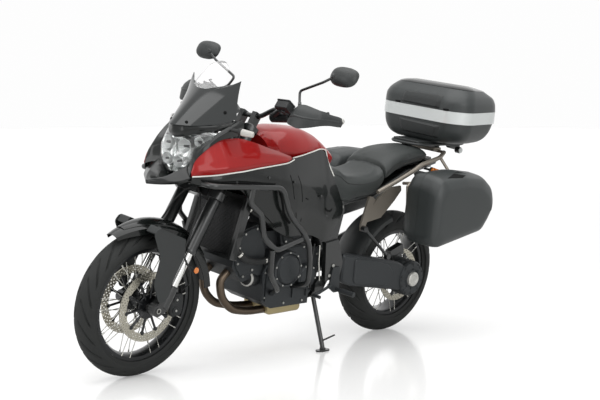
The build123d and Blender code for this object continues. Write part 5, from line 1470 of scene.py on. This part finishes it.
pivot_at = (600, 455)
rack_top = 1010
drive_profile = [(22, 106), (92, 106), (92, 150), (88, 156), (92, 162), (92, 178), (86, 188), (60, 192),
                 (46, 186), (40, 190), (22, 190)]
drive = turned(drive_profile, rear_hub, steps=90)
drive_core = turned([(2, 30), (30, 30), (30, 108), (2, 108)], rear_hub, steps=40)
wedges = [round_the_hub(rear_hub, turn + np.array([0, -0.04, 0.04]), [46, 84, 84], 0)
          for turn in full_turn(8)]
drive_ribs = [plate(wedge[:, [0, 2]], 184, 192, 0.8) for wedge in wedges]
piece("final_drive_housing", joined([drive, drive_core, *drive_ribs]), bike, engine_paint, "chassis",
      ["final_drive"])
axle_cap = turned([(2, 188), (37, 188), (37, 202), (33, 206), (22, 207), (18, 204), (2, 204)],
                  rear_hub, steps=48)
piece("axle_cap", axle_cap, bike, cast_grey, "chassis")
piece("final_drive_bolts", ring_of_bolts(rear_hub, 80, 10, 188), bike, engine_black, "chassis")
arm_outline = [(520, 492), (447, 480), (250, 446), (110, 418), (52, 392), (52, 262), (150, 278), (456, 328),
               (520, 352)]
raised_face = [(440, 466), (270, 436), (180, 410), (140, 356), (190, 300), (440, 340)]
arm = joined([
    soft_plate(arm_outline, 18, 112, 182, 9),
    soft_plate(raised_face, 26, 178, 188, 4),
    soft_plate([(640, 478), (600, 503), (500, 492), (500, 340), (600, 402), (640, 432)], 10, 112, 159, 4),
    bar((pivot_at[0], -164, pivot_at[1]), (pivot_at[0], 164, pivot_at[1]), 26, sides=28),
    plate([(600, 480), (530, 500), (512, 470), (560, 432), (600, 430)], -20, 20, 3),
])
piece("swingarm_skin", arm, bike, engine_paint, "chassis", ["swingarm"])
rack_outline = [(-12, 58), (-12, -58), (-52, -108), (-380, -118), (-466, -60), (-466, 60), (-380, 118),
                (-52, 108)]
rack = joined([
    soft_plate(rack_outline, 30, rack_top - 13, rack_top, 4, across=2),
    soft_plate([(-40, 88), (-40, -88), (-420, -88), (-420, 88)], 20, rack_top, rack_top + 9.5, 2, across=2),
    bar((-400, 0, 985), (-482, 0, 970), 20, sides=28),
    *[bar((-232, y, 982.5), (-232, y, 998), 14) for y in (-60, 60)],
])
piece("rack_plate_skin", rack, bike, grained_black, "chassis", ["rack_plate"])
rack_tube = bar((-357, 92, 971), (-357, 121, 971), 17, sides=28)
piece("rack_tube_ends", mirrored(rack_tube), bike, powder_black, "chassis")
piece("rack_tube_caps", mirrored(disc((-357, 121, 971), sideways, 15, 0, 4)), bike, silver_paint, "chassis")
print("brakes and final drive made")

# %% [markdown]
# ## Cowl lines
#
# Panel gaps, a slot behind the fold, a notch and a vent break the cowl's big black side. Each is a path
# pulled onto the finished cowl, so that it follows the surface, with a near-black bead of painted shade laid
# in it.

# %% Lines on the cowls
cowl = bpy.data.objects["cowl_skins"]


def on_cowl(points, radius, count=50, lift=-0.3):
    """A bead along a path laid on the left cowl, and its mirror image's twin on the right."""
    made = []
    for side in (1, -1):
        path = crease_line(points, count) * [1, side, 1]
        made.append(tube(on_cover(cowl, path, bike, lift), radius, 8))
    return joined(made)


# Painted shade: the near-black beads stand in for the shade inside the gaps, the slot, the notch and the
# vent.
gap_shade_beads = joined([
    on_cowl([(1466, 196, 898), (1380, 224, 894), (1270, 238, 887), (1170, 242, 880), (1080, 240, 876)], 4.5),
    on_cowl([(1050, 244, 846), (1030, 240, 800), (1010, 238, 745), (975, 236, 704), (958, 236, 690)], 7.5),
    on_cowl([(982, 240, 912), (965, 240, 850), (944, 238, 780), (917, 235, 697)], 1.8),
    on_cowl([(924, 238, 908), (906, 236, 850), (890, 232, 770), (883, 226, 690)], 1.8),
    on_cowl([(880, 230, 802), (848, 226, 790), (822, 222, 770)], 2.6),
    on_cowl([(822, 222, 770), (842, 224, 756), (862, 228, 746)], 2.6),
    on_cowl([(1197, 232, 842), (1188, 230, 786), (1110, 232, 730), (1030, 226, 668)], 2.0),
    on_cowl([(716, 206, 738), (700, 204, 726), (680, 203, 722), (664, 202, 730)], 6.0),
])
piece("cowl_gap_painted_shade", gap_shade_beads, row, near_black_and_shade, "chassis")
screws = joined([disc(p, sideways, 6, -2, 3, 1) for p in
                 ((960, 241, 880), (760, 220, 800), (700, 210, 700), (1120, 243, 905), (1300, 236, 890))])
piece("cowl_screws", mirrored(screws), bike, powder_black, "chassis")
print("cowl lines made")

# %% [markdown]
# ## Studio, light and camera
#
# The motorcycle stands in a white studio, on a pale floor with a soft sheen. White comes from the world
# as the camera sees it, and not from more light on the paint, so that colours render as written. One
# large soft lamp overhead and two weaker ones, at the left and in front, give the long highlights.

# %% Studio
floor_colour = "#F1F1F0"
floor_half = 60.0
floor_lift = 0.24


def studio_world():
    """White to the camera and to reflections, and a plain level of light to everything else."""
    world = bpy.data.worlds.new("studio_white")
    bpy.context.scene.world = world
    world.use_nodes = True
    tree = world.node_tree
    tree.nodes.clear()
    path = add_node(tree, "ShaderNodeLightPath")
    shown = add_node(
        tree, "ShaderNodeMath", {0: path.outputs["Is Camera Ray"], 1: path.outputs["Is Glossy Ray"]},
        operation="MAXIMUM",
    )
    seen = add_node(
        tree, "ShaderNodeMath", {0: shown.outputs[0], 1: path.outputs["Is Transmission Ray"]},
        operation="MAXIMUM",
    )
    strength = add_node(
        tree, "ShaderNodeMapRange", {"Value": seen.outputs[0], "To Min": 0.5, "To Max": 0.985}
    )
    light = add_node(
        tree, "ShaderNodeBackground", {"Color": (1, 1, 1, 1), "Strength": strength.outputs["Result"]}
    )
    add_node(tree, "ShaderNodeOutputWorld", {"Surface": light.outputs["Background"]})


def studio_floor():
    """A wide level sheet: pale and softly glossy, and lifted to the white of the world for the camera."""
    corners = np.array([[-1, -1, 0], [1, -1, 0], [1, 1, 0], [-1, 1, 0]]) * floor_half
    mesh = bpy.data.meshes.new("studio_floor")
    mesh.from_pydata(corners.tolist(), [], [[0, 1, 2, 3]])
    material = bpy.data.materials.new("studio_floor_white")
    material.use_nodes = True
    tree = material.node_tree
    shader = tree.nodes["Principled BSDF"]
    shader.inputs["Base Color"].default_value = linear(floor_colour)
    shader.inputs["Roughness"].default_value = 0.14
    shader.inputs["Specular IOR Level"].default_value = 0.45
    shader.inputs["Emission Color"].default_value = (1, 1, 1, 1)
    path = add_node(tree, "ShaderNodeLightPath")
    lift = add_node(
        tree, "ShaderNodeMapRange", {"Value": path.outputs["Is Camera Ray"], "To Max": floor_lift}
    )
    tree.links.new(lift.outputs["Result"], shader.inputs["Emission Strength"])
    mesh.materials.append(material)
    made = bpy.data.objects.new("studio_floor", mesh)
    bpy.context.scene.collection.objects.link(made)


def lamp(name, place, aim, size, watts):
    """A square area lamp at a place, turned so that its face looks at the aim."""
    light = bpy.data.lights.new(name, "AREA")
    light.size = size
    light.energy = watts
    made = bpy.data.objects.new(name, light)
    made.location = place
    direction = Vector(aim) - Vector(place)
    made.rotation_euler = direction.to_track_quat("-Z", "Y").to_euler()
    bpy.context.scene.collection.objects.link(made)


studio_world()
studio_floor()
lamp("overhead_softbox", (0.4, 0.6, 4.2), (0, 0, 0.6), 4.5, 120)
lamp("left_softbox", (1.2, 5.0, 2.2), (0, 0, 0.7), 3.0, 70)
lamp("front_softbox", (5.0, -0.8, 2.0), (0.3, 0, 0.7), 2.5, 45)
bpy.context.scene.view_settings.view_transform = "Standard"

# %% Camera
image_width = 600
camera_place = (3.9619, 4.0575, 1.158)
camera_azimuth = 45.97
camera_elevation = 4.31
focal_pixels = 1193.3


def photo_camera():
    """The camera looks back along its azimuth and elevation; its lens has the focal length in pixels."""
    lens = bpy.data.cameras.new("camera")
    lens.sensor_width = 36
    lens.lens = focal_pixels * lens.sensor_width / image_width
    made = bpy.data.objects.new("camera", lens)
    made.location = camera_place
    made.rotation_euler = (
        math.radians(90 - camera_elevation), 0, math.radians(camera_azimuth + 90)
    )
    bpy.context.scene.collection.objects.link(made)
    bpy.context.scene.camera = made


photo_camera()
